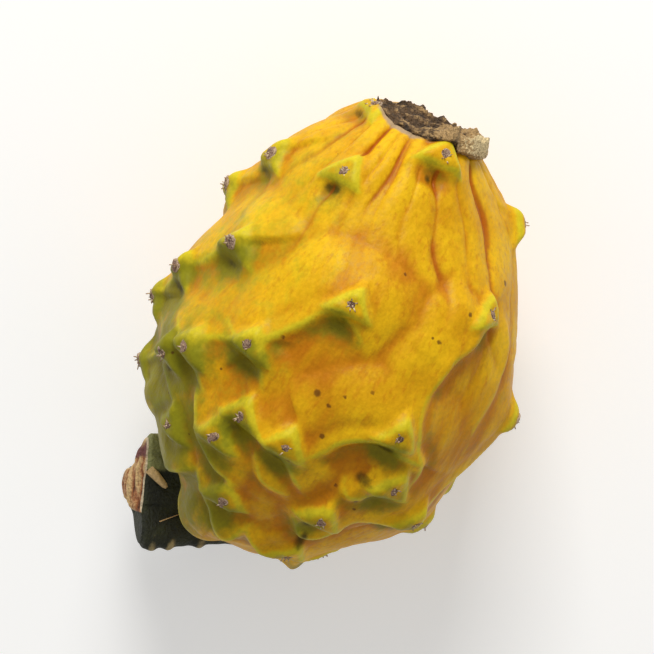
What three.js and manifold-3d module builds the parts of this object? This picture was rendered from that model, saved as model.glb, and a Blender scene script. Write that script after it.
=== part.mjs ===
// A yellow dragon fruit, lying on its side with a stub of the cactus stem it grew on.
//
// The skin is one closed surface worked out by formula: an egg-shaped body, studded with bumps.
// Each bump is the foot of a scale of the flower the fruit grew from. It rises to a tip that leans
// to the flower end, and two ridges run from it to its nearest neighbours on the stem side.
// Everything is in millimetres. In the fruit's own frame the middle of the rim at the flower end is
// the origin and +Z points out of it, so "depth" is the distance from the rim towards the stem.

import * as THREE from 'three';
import { mergeVertices } from 'three/addons/utils/BufferGeometryUtils.js';
import Module from 'manifold-3d';

const { degToRad, clamp, lerp, smoothstep } = THREE.MathUtils;
const wasm = await Module();
wasm.setup();

// ---------- Driving dimensions ----------

const BODY = { length: 96, girth: 33.7, taper: 0.13, pinch: 0.1, cutOff: 4.5 };
const AXIS = { neckShift: -5, neckLength: 13, bow: 0.5, bowCentre: 42, bowLength: 88 };

// One row of bumps at each depth: the bump's height, and where it stands round the body in degrees.
// The fruit lies on four of them, which are pressed flat and have lost their pads.
const BUMP_ROWS = [
  { depth: 0, height: 3.4, around: [-66, 18] },
  { depth: 8, height: 3.2, around: [155, -140] },
  { depth: 11, height: 3.8, around: [-32, 101] },
  { depth: 18, height: 4.2, around: [-75] },
  { depth: 23, height: 4.4, around: [49, 132, -178, -127] },
  { depth: 30, height: 4.4, around: [-5, -91] },
  { depth: 34, height: 4.2, around: [-54] },
  { depth: 37, height: 4.8, around: [-160], rests: true },
  { depth: 37, height: 5.6, around: [160], rests: true },
  { depth: 43, height: 3.8, around: [82] },
  { depth: 46, height: 4.6, around: [-74, -27] },
  { depth: 48, height: 4.6, around: [26, 128, -126] },
  { depth: 54, height: 4.4, around: [-46] },
  { depth: 56, height: 4.6, around: [-88] },
  { depth: 59, height: 4.6, around: [-19, 36, -56, -2] },
  { depth: 62, height: 4.2, around: [163], rests: true },
  { depth: 62, height: 5, around: [-157], rests: true },
  { depth: 65, height: 4.6, around: [55, -24, 114, -117] },
  { depth: 68, height: 3.6, around: [-88] },
  { depth: 71, height: 4.6, around: [-47, 23, 88, 140, -140] },
  { depth: 74, height: 3.8, around: [180] },
  { depth: 77, height: 4.4, around: [-13, 112, -114] },
  { depth: 83, height: 3.8, around: [29] },
  { depth: 84, height: 3.4, around: [60, 160, -88] },
];

// A bump is a broad mound, a tip, the lean of that tip, and a scoop on its stem side.
const MOUND = { share: 0.34, toFlower: 6.5, toStem: 9, across: 7.5 };
const TIP = { share: 0.62, forward: 0.4, toFlower: 2.1, toStem: 4.6, across: 3, power: 2.4 };
const LEAN = { share: 0.3, reach: 4.6 };
const SCOOP = { share: 0.42, behind: 7.6, along: 3.4, across: 2.8 };
const BUMP_REACH = { full: 16, end: 22 };

// Towards the stem the skin behind a bump swells to a round lobe, highest on one side of the fruit.
const LOBE = { depths: [60, 76], least: 2.4, more: 3.6, fullAt: -30, fullWidth: 0.9 };
const LOBE_SHAPE = { behind: 6.5, toFlower: 4.6, toStem: 5.2, across: 6.6, power: 2.6 };

// A ridge runs to a neighbour at least this far back and across, and at most this far away. It sinks
// and widens on its way, and rises and ends over a short run at either end.
const RIDGE_TO = { leastBack: 1.5, leastAcross: 2.5, longest: 33, bestSlant: 50, slantCost: 0.5 };
const RIDGE = { share: 0.4, fall: 0.45, width: 1.9, spread: 2.6, power: 1.7, facing: 0.3 };
const RIDGE_ENDS = { rises: [-2.5, 0.5], sinks: [0.8, 1.02] };
const RIDGE_REACH = { full: 7, end: 12 };

const PLEATS = { height: 0.6, length: 20, rises: [-2, 3] };
const CRATER = { depth: 3.6, shares: [0.35, 0.7, 0.9], lipShare: 0.96, lip: 0.4 };
const SKIN_GRID = { along: 48, around: 60 };

const PAD = { across: 1.75, along: 2, thick: 0.95, back: 1.2, sunk: 0.25, probe: 1.2 };
const GAP = 0.32;

// The remnant's rings are given as shares of the way from the crater's middle out to the rim.
const REMNANT = {
  level: -0.6,
  crumb: 0.35,
  clear: 0.42,
  narrower: 0.97,
  topShares: [0.3, 0.5, 0.66, 0.8, 0.92],
  lowShares: [0.87, 0.68, 0.35],
};
const FLAP = { height: 3.6, middle: 95, half: 60, share: 0.88, thickness: 0.17, lean: 0.1 };

// The stub's cross-section has three ribs. Its rings are shares of the way from its middle to an end.
const STUB = { length: 27, valley: 6, rib: 6.8, sharpness: 2.2, core: 3.4, coreOut: 1.6 };
const STUB_RINGS = { shares: [1, 0.96, 0.75, 0.2, -0.4, -0.94, -1], waist: 0.04, chamfer: 0.08, around: 36 };
const STUB_AT = new THREE.Vector3(-15.4, -5.5, -94.4);
const STUB_AXIS = new THREE.Vector3(0.37, -0.88, -0.3).normalize();
const STUB_BACK = new THREE.Vector3(-0.97, 0, -0.24);

const LIE = { roll: 1, flowerUp: 1.75, flat: 1.35 };

// ---------- The body under the bumps ----------

const TURN = 2 * Math.PI;
const wrap = (angle) => THREE.MathUtils.euclideanModulo(angle + Math.PI, TURN) - Math.PI;
const bell = (value, width) => Math.exp(-((value / width) ** 2));
const polarAt = (depth) => Math.acos(clamp(1 - (2 * (depth + BODY.cutOff)) / BODY.length, -1, 1));
const radiusAt = (polar) =>
  BODY.girth * Math.sin(polar) * (1 - BODY.taper * Math.cos(polar) - BODY.pinch * Math.cos(polar) ** 2);

/** How far the body's middle line stands aside at a depth: the neck leans, and the rest bows a little. */
function sideways(depth) {
  const neck = AXIS.neckShift * Math.exp(-(Math.max(depth, 0) ** 2) / (2 * AXIS.neckLength ** 2));
  return neck + AXIS.bow * Math.cos((TURN * (depth - AXIS.bowCentre)) / AXIS.bowLength);
}

const SIDE_AT_RIM = sideways(0);

/** A point of the plain egg, by its polar angle from the flower end and its angle round the axis. */
function bodyPoint(polar, around) {
  const depth = (BODY.length / 2) * (1 - Math.cos(polar)) - BODY.cutOff;
  const radius = radiusAt(polar);
  return new THREE.Vector3(
    radius * Math.cos(around),
    radius * Math.sin(around) + sideways(depth) - SIDE_AT_RIM,
    -depth,
  );
}

/** The egg's point with unit vectors to the flower end, round the body and straight out. */
function bodyFrame(polar, around) {
  const step = 1e-3;
  const clear = clamp(polar, 20 * step, Math.PI - 20 * step);
  const toFlower = bodyPoint(clear - step, around).sub(bodyPoint(clear + step, around)).normalize();
  const across = bodyPoint(clear, around + step).sub(bodyPoint(clear, around - step)).normalize();
  const out = new THREE.Vector3().crossVectors(across, toFlower).normalize();
  return { point: bodyPoint(polar, around), toFlower, across, out };
}

// ---------- Bumps and the ridges between them ----------

const BUMPS = BUMP_ROWS.flatMap(({ depth, height, around, rests = false }) =>
  around.map((degrees) => {
    const polar = polarAt(depth);
    const angle = degToRad(degrees);
    return { depth, height, rests, polar, angle, ...bodyFrame(polar, angle) };
  }),
);

/** The nearest neighbour on the stem side, to one side of a bump, or nothing where none is in reach. */
function neighbour(bump, side) {
  let best = null;
  for (const other of BUMPS) {
    const back = other.depth - bump.depth;
    const radius = (radiusAt(bump.polar) + radiusAt(other.polar)) / 2;
    const across = side * radius * wrap(other.angle - bump.angle);
    const distance = Math.hypot(back, across);
    if (back < RIDGE_TO.leastBack || across < RIDGE_TO.leastAcross || distance > RIDGE_TO.longest) continue;
    const slant = Math.abs(Math.atan2(across, back) - degToRad(RIDGE_TO.bestSlant));
    const cost = distance * (1 + RIDGE_TO.slantCost * slant);
    if (best === null || cost < best.cost) best = { cost, other };
  }
  return best;
}

const RIDGES = BUMPS.flatMap((bump) =>
  [-1, 1].flatMap((side) => {
    const found = neighbour(bump, side);
    if (found === null) return [];
    const run = found.other.point.clone().sub(bump.point);
    const out = bump.out.clone().add(found.other.out);
    const length = run.length();
    return [{ start: bump.point, length, along: run.normalize(), height: bump.height, out }];
  }),
);

/** A smooth peak with its own reach to the flower, to the stem and across. */
function peak(ahead, across, shape) {
  const radius = Math.hypot(ahead / (ahead > 0 ? shape.toFlower : shape.toStem), across / shape.across);
  return Math.exp(-(radius ** shape.power));
}

/** How high the lobe behind a bump stands. */
function lobeHeight(bump) {
  const fuller = bell(wrap(bump.angle - degToRad(LOBE.fullAt)), LOBE.fullWidth);
  return bump.rests ? 0 : smoothstep(bump.depth, ...LOBE.depths) * (LOBE.least + LOBE.more * fuller);
}

/** How far one bump lifts the skin, and how far it pushes it to the flower end. */
function bumpLift(bump, point) {
  const offset = point.clone().sub(bump.point);
  const distance = offset.length();
  if (distance > BUMP_REACH.end) return { lift: 0, push: 0 };
  const ahead = offset.dot(bump.toFlower);
  const across = offset.dot(bump.across);
  const fade = 1 - smoothstep(distance, BUMP_REACH.full, BUMP_REACH.end);
  const mound = bell(ahead, ahead > 0 ? MOUND.toFlower : MOUND.toStem) * bell(across, MOUND.across);
  const tip = peak(ahead - TIP.forward, across, TIP);
  const scoop = bell(ahead + SCOOP.behind, SCOOP.along) * bell(across, SCOOP.across);
  const shares = MOUND.share * mound + TIP.share * tip - SCOOP.share * scoop;
  const lobe = lobeHeight(bump) * peak(ahead + LOBE_SHAPE.behind, across, LOBE_SHAPE);
  return {
    lift: bump.height * fade * shares + lobe,
    push: bump.height * fade * LEAN.share * bell(distance, LEAN.reach),
  };
}

/** The height of one ridge at a point of the egg whose outward direction is given. */
function ridgeLift(ridge, point, out) {
  if (out.dot(ridge.out) <= RIDGE.facing) return 0;
  const offset = point.clone().sub(ridge.start);
  const run = offset.dot(ridge.along);
  const side = offset.addScaledVector(ridge.along, -run);
  side.addScaledVector(out, -side.dot(out));
  const distance = side.length();
  const share = clamp(run / ridge.length, 0, 1);
  const width = RIDGE.width + RIDGE.spread * share;
  const rise = smoothstep(run, ...RIDGE_ENDS.rises);
  const ends = rise * (1 - smoothstep(run / ridge.length, ...RIDGE_ENDS.sinks));
  const crest = ridge.height * RIDGE.share * (1 - RIDGE.fall * share) * ends;
  const fade = 1 - smoothstep(distance, RIDGE_REACH.full, RIDGE_REACH.end);
  return crest * fade * Math.exp(-((distance / width) ** RIDGE.power));
}

/** Pleats that gather the skin towards the rim and die out down the body. */
function pleatLift(depth, around) {
  const waves =
    Math.sin(7 * around + 0.6 + 0.9 * Math.sin(2 * around + 1)) +
    0.6 * Math.sin(13 * around + 2 + 0.5 * Math.sin(3 * around));
  return PLEATS.height * bell(depth, PLEATS.length) * smoothstep(depth, ...PLEATS.rises) * waves;
}

/** A point of the finished skin; swell moves it straight out by a constant amount. */
function skinPoint(polar, around, swell = 0) {
  const { point, out } = bodyFrame(polar, around);
  const push = new THREE.Vector3();
  let lift = pleatLift(-point.z, around) + swell;
  for (const bump of BUMPS) {
    const part = bumpLift(bump, point);
    lift += part.lift;
    push.addScaledVector(bump.toFlower, part.push);
  }
  lift += Math.max(0, ...RIDGES.map((ridge) => ridgeLift(ridge, point, out)));
  return point.addScaledVector(out, lift).add(push);
}

// ---------- Meshes ----------

/** A closed mesh from a first pole, rings of equal length and a last pole. */
function closedMesh(firstPole, rings, lastPole) {
  const count = rings[0].length;
  const points = [firstPole, ...rings.flat(), lastPole];
  const at = (row, column) => 1 + row * count + (column % count);
  const faces = [];
  for (let column = 0; column < count; column += 1) {
    faces.push(0, at(0, column), at(0, column + 1));
    faces.push(points.length - 1, at(rings.length - 1, column + 1), at(rings.length - 1, column));
    for (let row = 0; row + 1 < rings.length; row += 1) {
      faces.push(at(row, column), at(row + 1, column), at(row + 1, column + 1));
      faces.push(at(row, column), at(row + 1, column + 1), at(row, column + 1));
    }
  }
  const geometry = new THREE.BufferGeometry().setFromPoints(points);
  geometry.setIndex(faces);
  return geometry;
}

const ringOf = (count, pointAt) => Array.from({ length: count }, (_, i) => pointAt((TURN * i) / count, i));

/** A manifold-3d solid of a closed three.js geometry. */
function solidOf(geometry) {
  const bare = geometry.clone();
  bare.deleteAttribute('normal');
  bare.deleteAttribute('uv');
  const merged = mergeVertices(bare, 1e-4);
  const solid = new wasm.Mesh({
    numProp: 3,
    vertProperties: new Float32Array(merged.attributes.position.array),
    triVerts: new Uint32Array(merged.index.array),
  });
  return new wasm.Manifold(solid);
}

/** The largest body of a solid, as a three.js geometry. */
function geometryOf(solid) {
  const bodies = solid.decompose().sort((a, b) => b.volume() - a.volume());
  const { vertProperties, triVerts } = bodies[0].getMesh();
  const geometry = new THREE.BufferGeometry();
  geometry.setAttribute('position', new THREE.BufferAttribute(new Float32Array(vertProperties), 3));
  geometry.setIndex([...triVerts]);
  geometry.computeVertexNormals();
  return geometry;
}

// ---------- The skin ----------

/** Polar angles of the skin's rings, an equal distance apart along the body from rim to stem. */
function ringPolars() {
  const fine = 1200;
  const first = polarAt(0);
  const polars = Array.from({ length: fine + 1 }, (_, i) => lerp(first, Math.PI, i / fine));
  const runs = [0];
  for (let i = 1; i <= fine; i += 1) {
    runs.push(runs[i - 1] + bodyPoint(polars[i], 0).distanceTo(bodyPoint(polars[i - 1], 0)));
  }
  return Array.from({ length: SKIN_GRID.along }, (_, i) => {
    const run = (runs[fine] * i) / SKIN_GRID.along;
    return polars[runs.findIndex((value) => value >= run)];
  });
}

/** The grid of the skin's angles, with the node nearest to each bump moved onto its tip. */
function skinAngles() {
  const grid = ringPolars().map((polar) => ringOf(SKIN_GRID.around, (around) => ({ polar, around })));
  for (const bump of BUMPS) {
    const nodes = grid.slice(1).flat();
    const distance = (node) => bodyPoint(node.polar, node.around).distanceTo(bump.point);
    const nearest = nodes.reduce((a, b) => (distance(b) < distance(a) ? b : a));
    nearest.polar = bump.polar;
    nearest.around = bump.angle;
  }
  return grid;
}

const ANGLES = skinAngles();
const rimRing = (swell) => ANGLES[0].map(({ polar, around }) => skinPoint(polar, around, swell));
const RIM = rimRing(0);
const RIM_MIDDLE = RIM.reduce((sum, point) => sum.add(point), new THREE.Vector3()).divideScalar(RIM.length);

/** The crater's depth at a share of the way from its middle out to the rim. */
const bowlDepth = (share) => CRATER.depth * Math.sqrt(1 - share ** 2);

/** A ring across the crater: a share of the way out to the rim, at a depth below it. */
function craterRing(share, depth) {
  return RIM.map((point) => RIM_MIDDLE.clone().lerp(point, share).add(new THREE.Vector3(0, 0, -depth)));
}

const craterMiddle = (height) => RIM_MIDDLE.clone().add(new THREE.Vector3(0, 0, height));

/** The whole fruit: the crater at the flower end, its rim, and the skin down to the stem end. */
function fruitGeometry(swell = 0) {
  const crater = CRATER.shares.map((share) => craterRing(share, bowlDepth(share)));
  const lip = craterRing(CRATER.lipShare, CRATER.lip);
  const skin = ANGLES.map((row) => row.map(({ polar, around }) => skinPoint(polar, around, swell)));
  return closedMesh(craterMiddle(-CRATER.depth), [...crater, lip, ...skin], skinPoint(Math.PI, 0, swell));
}

// ---------- Areoles: the felt pads that carried the spines ----------

/** The place and turn of a pad, on the flat of a bump's tip that faces the stem. */
function padMatrix(bump) {
  const at = (depth, across) =>
    skinPoint(polarAt(depth), bump.angle + across / Math.max(radiusAt(bump.polar), 1));
  const middle = Math.max(bump.depth + PAD.back, 0.3);
  const toFlower = at(middle - PAD.probe, 0).sub(at(middle + PAD.probe, 0)).normalize();
  const across = at(middle, PAD.probe).sub(at(middle, -PAD.probe)).normalize();
  const out = new THREE.Vector3().crossVectors(across, toFlower).normalize();
  const flower = new THREE.Vector3().crossVectors(out, across);
  const centre = at(middle, 0).addScaledVector(out, -PAD.sunk);
  return new THREE.Matrix4().makeBasis(across, flower, out).setPosition(centre);
}

/** A pad's flat cushion, or with a margin the socket that it sits in. */
function padGeometry(bump, margin = 0) {
  const cushion = new THREE.SphereGeometry(1, 7, 4);
  cushion.rotateX(Math.PI / 2);
  cushion.scale(PAD.across + margin, PAD.along + margin, PAD.thick + margin);
  return cushion.applyMatrix4(padMatrix(bump));
}

// ---------- What is left of the flower ----------

/** A point on the remnant's crumbly top, with a curled flap standing along one side. */
function remnantTop(share, around, rimPoint) {
  const beside = bell(wrap(around - degToRad(FLAP.middle)), degToRad(FLAP.half));
  const flap = beside * bell(share - FLAP.share, FLAP.thickness);
  const crumbs = Math.sin(5 * around + 9 * share) + Math.sin(11 * around - 7 * share);
  const height = REMNANT.level + REMNANT.crumb * crumbs * smoothstep(share, 0, 0.3) + FLAP.height * flap;
  const point = RIM_MIDDLE.clone().lerp(rimPoint, share + FLAP.lean * flap);
  return point.add(new THREE.Vector3(0, 0, height));
}

/** The plug of dried flower in the crater, clear of its wall all round. */
function remnantGeometry() {
  const underside = (share) => bowlDepth(share) - REMNANT.clear;
  const below = REMNANT.lowShares.map((share) => craterRing(share * REMNANT.narrower, underside(share)));
  const top = REMNANT.topShares.map((share) =>
    RIM.map((point, i) => remnantTop(share, (TURN * i) / RIM.length, point)),
  );
  return closedMesh(craterMiddle(REMNANT.level), [...top, ...below], craterMiddle(-underside(0)));
}

// ---------- The stub of stem ----------

/** A piece of three-ribbed cactus stem, cut at both ends, its woody core standing out a little. */
function stubGeometry() {
  const across = new THREE.Vector3().crossVectors(STUB_AXIS, STUB_BACK).normalize();
  const back = new THREE.Vector3().crossVectors(across, STUB_AXIS).normalize();
  const ring = (along, scale, round) =>
    ringOf(STUB_RINGS.around, (turn) => {
      const ribbed = STUB.valley + STUB.rib * ((1 + Math.cos(3 * turn)) / 2) ** STUB.sharpness;
      const radius = round > 0 ? round : ribbed * scale;
      return STUB_AT.clone()
        .addScaledVector(STUB_AXIS, along)
        .addScaledVector(back, radius * Math.cos(turn))
        .addScaledVector(across, radius * Math.sin(turn));
    });
  const half = STUB.length / 2;
  const body = STUB_RINGS.shares.map((share) => {
    const chamfer = Math.abs(share) === 1 ? STUB_RINGS.chamfer : 0;
    return ring(share * half, 1 - STUB_RINGS.waist * Math.cos(Math.PI * share) - chamfer, 0);
  });
  const core = [ring(half + STUB.coreOut, 1, STUB.core), ring(half + 0.1, 1, STUB.core + 0.3)];
  const end = (along) => STUB_AT.clone().addScaledVector(STUB_AXIS, along);
  return closedMesh(end(half + STUB.coreOut), [...core, ...body], end(-half));
}

// ---------- Laying the fruit down ----------

/** The turn from the fruit's frame to the way it lies: rolled about its axis, then tipped over. */
function lyingMatrix() {
  const roll = new THREE.Matrix4().makeRotationZ(degToRad(-LIE.roll));
  const tip = degToRad(LIE.flowerUp);
  const down = new THREE.Matrix4().makeBasis(
    new THREE.Vector3(-Math.sin(tip), 0, Math.cos(tip)),
    new THREE.Vector3(0, -1, 0),
    new THREE.Vector3(Math.cos(tip), 0, Math.sin(tip)),
  );
  return down.multiply(roll);
}

const LYING = lyingMatrix();

/** The height of the lowest point of a geometry once it lies down. */
function lowestLying(geometry) {
  const laid = geometry.clone().applyMatrix4(LYING);
  laid.computeBoundingBox();
  return laid.boundingBox.min.z;
}

/** A block filling the space below the floor, turned back into the fruit's frame. */
function belowFloor(floor) {
  const size = 3 * BODY.length;
  const block = new THREE.BoxGeometry(size, size, size);
  block.translate(0, 0, floor - size / 2);
  return block.applyMatrix4(LYING.clone().invert());
}

// ---------- Materials ----------

const paint = (color, roughness) => new THREE.MeshStandardMaterial({ color, roughness, metalness: 0 });
const SKIN = paint(0xe5ad22, 0.45);
const FELT = paint(0x8f7d76, 0.95);
const DRIED = paint(0x6b5236, 0.95);
const STEM = paint(0x2f3a1c, 0.7);

// ---------- Assembly ----------

const lying = new THREE.Group();
lying.applyMatrix4(LYING);

function addPiece(name, geometry, material) {
  const piece = new THREE.Mesh(geometry, material);
  piece.name = name;
  lying.add(piece);
}

const wholeFruit = fruitGeometry();
const floor = lowestLying(wholeFruit) + LIE.flat;
const padded = BUMPS.filter((bump) => !bump.rests);
const sockets = padded.map((bump) => solidOf(padGeometry(bump, GAP)));
const withSockets = (solid) => sockets.reduce((rest, socket) => rest.subtract(socket), solid);
const rested = solidOf(wholeFruit).subtract(solidOf(belowFloor(floor)));
addPiece('fruit', geometryOf(withSockets(rested)), SKIN);

padded.forEach((bump, i) => {
  addPiece(`areole_${String(i + 1).padStart(2, '0')}`, padGeometry(bump), FELT);
});

addPiece('flower_remnant', remnantGeometry(), DRIED);
const stub = solidOf(stubGeometry()).subtract(solidOf(fruitGeometry(GAP)));
addPiece('stem_stub', geometryOf(withSockets(stub)), STEM);

const group = new THREE.Group();
group.add(lying);
group.updateMatrixWorld(true);
const box = new THREE.Box3().setFromObject(group, true);
const middle = box.getCenter(new THREE.Vector3());
group.position.set(-middle.x, -middle.y, -box.min.z);

export default group;
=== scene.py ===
"""A yellow dragon fruit lying on its side, with a stub of the cactus stem that it grew on.

Every shape is worked out in the fruit's own frame, in millimetres: the middle of the rim at the
flower end is the origin, +Z points out of it, and "depth" is the distance from the rim towards the
stem. LYING turns and moves that frame to the way the fruit lies on the floor.
"""

from __future__ import annotations

import itertools
import logging
import math
from dataclasses import dataclass, field, fields
from enum import Enum
from typing import Iterable, Sequence

import bpy
import numpy as np
from mathutils import Matrix, Vector


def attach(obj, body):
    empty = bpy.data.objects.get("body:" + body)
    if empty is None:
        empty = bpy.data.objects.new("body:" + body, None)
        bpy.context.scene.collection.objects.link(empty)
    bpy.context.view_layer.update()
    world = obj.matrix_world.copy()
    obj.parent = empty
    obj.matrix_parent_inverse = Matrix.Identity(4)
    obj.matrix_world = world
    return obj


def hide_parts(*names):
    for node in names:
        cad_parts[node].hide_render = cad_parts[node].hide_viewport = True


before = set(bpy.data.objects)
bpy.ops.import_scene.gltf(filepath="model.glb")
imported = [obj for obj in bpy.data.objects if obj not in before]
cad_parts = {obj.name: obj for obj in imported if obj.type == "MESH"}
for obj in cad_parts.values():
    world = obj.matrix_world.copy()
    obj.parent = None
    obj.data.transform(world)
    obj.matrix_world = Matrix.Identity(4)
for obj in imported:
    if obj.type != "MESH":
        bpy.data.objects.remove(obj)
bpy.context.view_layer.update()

log = logging.getLogger("dragon_fruit")

MM = 0.001
TURN = 2 * math.pi

Colour = tuple[float, float, float]


class Slot(Enum):
    """The record's material slots that the pieces take their finish from."""

    SKIN = "skin"
    FELT = "areole_felt"
    DRIED = "dried_flower"
    STEM = "cactus_stem"


# ---------- Small formulas ----------


def bell(value: np.ndarray, width: float | np.ndarray) -> np.ndarray:
    """A bell curve: e to the power of minus the square of value over width."""
    return np.exp(-((value / width) ** 2))


def smooth_step(value: np.ndarray, low: float, high: float) -> np.ndarray:
    """A smooth rise from 0 at low to 1 at high: 3t² - 2t³ of the share t of the way between them."""
    share = np.clip((value - low) / (high - low), 0, 1)
    return share * share * (3 - 2 * share)


def wrap(angle: np.ndarray) -> np.ndarray:
    """The same angle between minus half a turn and half a turn."""
    return (angle + math.pi) % TURN - math.pi


def angles_round(count: int) -> np.ndarray:
    """A number of angles spaced evenly round a full turn, the first of them 0."""
    return np.arange(count) * TURN / count


def unit(vectors: np.ndarray) -> np.ndarray:
    """The vectors with a length of 1."""
    return vectors / np.linalg.norm(vectors, axis=-1, keepdims=True)


def srgb(red: int, green: int, blue: int) -> Colour:
    """A linear colour from display values, by the standard display curve.

    Args:
        red: the red, from 0 to 255.
        green: the green.
        blue: the blue.

    Returns:
        The colour.
    """
    shares = np.array([red, green, blue]) / 255
    linear = np.where(shares <= 0.04045, shares / 12.92, ((shares + 0.055) / 1.055) ** 2.4)
    return tuple(float(value) for value in linear)


class Grain:
    """Smooth random relief in space, from a lattice of seeded random values."""

    SIZE = 24

    def __init__(self, seed: int) -> None:
        """Fills the lattice.

        Args:
            seed: the seed of its random values.
        """
        shape = (self.SIZE, self.SIZE, self.SIZE)
        self.values = np.random.default_rng(seed).uniform(-1, 1, shape)

    def at(self, points: np.ndarray, wavelength: float | Sequence[float]) -> np.ndarray:
        """The relief at some points: the eight lattice values round each, blended by smooth steps.

        Args:
            points: places, with x, y and z along the last axis.
            wavelength: the distance between lattice values, one for all axes or one each.

        Returns:
            One value for each point, between -1 and 1.
        """
        place = points / np.asarray(wavelength, dtype=float)
        low = np.floor(place).astype(int)
        blend = smooth_step(place - low, 0, 1)
        total = np.zeros(points.shape[:-1])
        for corner in itertools.product((0, 1), repeat=3):
            index = tuple((low[..., axis] + corner[axis]) % self.SIZE for axis in range(3))
            sides = [blend[..., axis] if corner[axis] else 1 - blend[..., axis] for axis in range(3)]
            total += self.values[index] * sides[0] * sides[1] * sides[2]
        return total

    def layered(self, points: np.ndarray, wavelength: float, layers: int) -> np.ndarray:
        """Layers of the relief, each half as wide and half as high as the one before, added up."""
        parts = [self.at(points + 31.7 * i, wavelength / 2**i) / 2**i for i in range(layers)]
        return sum(parts) / (2 - 2 ** (1 - layers))


# ---------- Meshes ----------


@dataclass
class Surface:
    """A mesh under construction: points in the fruit's own frame, faces and named values."""

    points: np.ndarray
    faces: list[tuple[int, ...]]
    values: dict[str, np.ndarray] = field(default_factory=dict)
    finish: int = 0


def closed_tube(
    rings: np.ndarray,
    first_pole: np.ndarray | None = None,
    last_pole: np.ndarray | None = None,
    finish: int = 0,
) -> Surface:
    """A closed surface over rings of points, with a fan to a pole at either end.

    Args:
        rings: places by ring and by point along the ring.
        first_pole: the point that closes the first ring, or the ring's middle where none is given.
        last_pole: the same for the last ring.
        finish: which of the piece's materials it takes.

    Returns:
        The surface. It faces outwards where rings run away from the eye and points anticlockwise.
    """
    rows, count = rings.shape[:2]
    first = rings[0].mean(axis=0) if first_pole is None else first_pole
    last = rings[-1].mean(axis=0) if last_pole is None else last_pole
    points = np.vstack([first[None], rings.reshape(-1, 3), last[None]])
    at = 1 + np.arange(rows * count).reshape(rows, count)
    beside = np.roll(at, -1, axis=1)
    quads = np.stack([at[:-1], at[1:], beside[1:], beside[:-1]], axis=-1).reshape(-1, 4)
    end = len(points) - 1
    start_fan = np.stack([np.zeros(count, int), at[0], beside[0]], axis=-1)
    end_fan = np.stack([np.full(count, end), beside[-1], at[-1]], axis=-1)
    faces = [*map(tuple, start_fan.tolist()), *map(tuple, quads.tolist()), *map(tuple, end_fan.tolist())]
    return Surface(points, faces, finish=finish)


def ring_values(grid: np.ndarray) -> np.ndarray:
    """Values on rings as one row for closed_tube's points, where a pole has the mean of its ring."""
    return np.concatenate([[grid[0].mean()], grid.ravel(), [grid[-1].mean()]])


def joined(parts: Iterable[Surface]) -> tuple[Surface, np.ndarray]:
    """Several surfaces as one, with the finish of each face.

    Args:
        parts: the surfaces. A named value that one lacks is 0 there.

    Returns:
        The joined surface, and one finish number for each face.
    """
    parts = list(parts)
    names = sorted({name for part in parts for name in part.values})
    starts = np.cumsum([0] + [len(part.points) for part in parts])
    faces = [
        tuple(corner + int(start) for corner in face)
        for part, start in zip(parts, starts)
        for face in part.faces
    ]
    values = {
        name: np.concatenate([part.values.get(name, np.zeros(len(part.points))) for part in parts])
        for name in names
    }
    finishes = np.concatenate([np.full(len(part.faces), part.finish) for part in parts])
    return Surface(np.vstack([part.points for part in parts]), faces, values), finishes


# A thin rod's number of sides, a direction that no rod runs in, and its outline: shares of the
# length from its foot, and of the radius there.
ROD_SIDES = 8
ROD_ASIDE = (0.31, 0.95, 0.1)
ROD_SHARES = (0.0, 0.5, 0.85, 1.0)
ROD_RADII = (1.0, 0.8, 0.62, 0.3)


def rod(start: np.ndarray, end: np.ndarray, radius: float, finish: int = 0) -> Surface:
    """A thin round rod that narrows to a blunt end.

    Args:
        start: the middle of its foot.
        end: the middle of its end.
        radius: its radius at the foot.
        finish: which of the piece's materials it takes.

    Returns:
        The rod, with "along" from 0 at its foot to 1 at its end.
    """
    shares = np.array(ROD_SHARES)
    radii = radius * np.array(ROD_RADII)
    way = unit(end - start)
    side = unit(np.cross(way, ROD_ASIDE))
    turn = -angles_round(ROD_SIDES)
    circle = side * np.cos(turn)[:, None] + np.cross(way, side) * np.sin(turn)[:, None]
    rings = start + shares[:, None, None] * (end - start) + radii[:, None, None] * circle
    made = closed_tube(rings, finish=finish)
    made.values["along"] = ring_values(np.broadcast_to(shares[:, None], rings.shape[:2]))
    return made


@dataclass(frozen=True)
class Lying:
    """The way the fruit lies: rolled about its axis, tipped over, and moved to its place on the floor."""

    roll: float = 1.0
    flower_up: float = 1.75
    rim_at: tuple[float, float, float] = (51.549, 5.157, 36.642)

    def matrix(self) -> np.ndarray:
        """The turn from the fruit's own frame: a roll about its axis, then a tip over onto its side.

        Returns:
            The turn, with the fruit's x, y and z directions as its columns.
        """
        roll, tip = math.radians(-self.roll), math.radians(self.flower_up)
        down = np.array(
            [[-math.sin(tip), 0, math.cos(tip)], [0, -1, 0], [math.cos(tip), 0, math.sin(tip)]]
        )
        turn = np.array(
            [[math.cos(roll), -math.sin(roll), 0], [math.sin(roll), math.cos(roll), 0], [0, 0, 1]]
        )
        return down @ turn

    def place(self, points: np.ndarray) -> np.ndarray:
        """Points of the fruit's own frame where they lie on the floor, in metres."""
        return (points @ self.matrix().T + np.array(self.rim_at)) * MM

    def direction(self, vector: Sequence[float]) -> np.ndarray:
        """A direction of the fruit's own frame as it lies."""
        return self.matrix() @ np.asarray(vector, dtype=float)


LYING = Lying()


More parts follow.
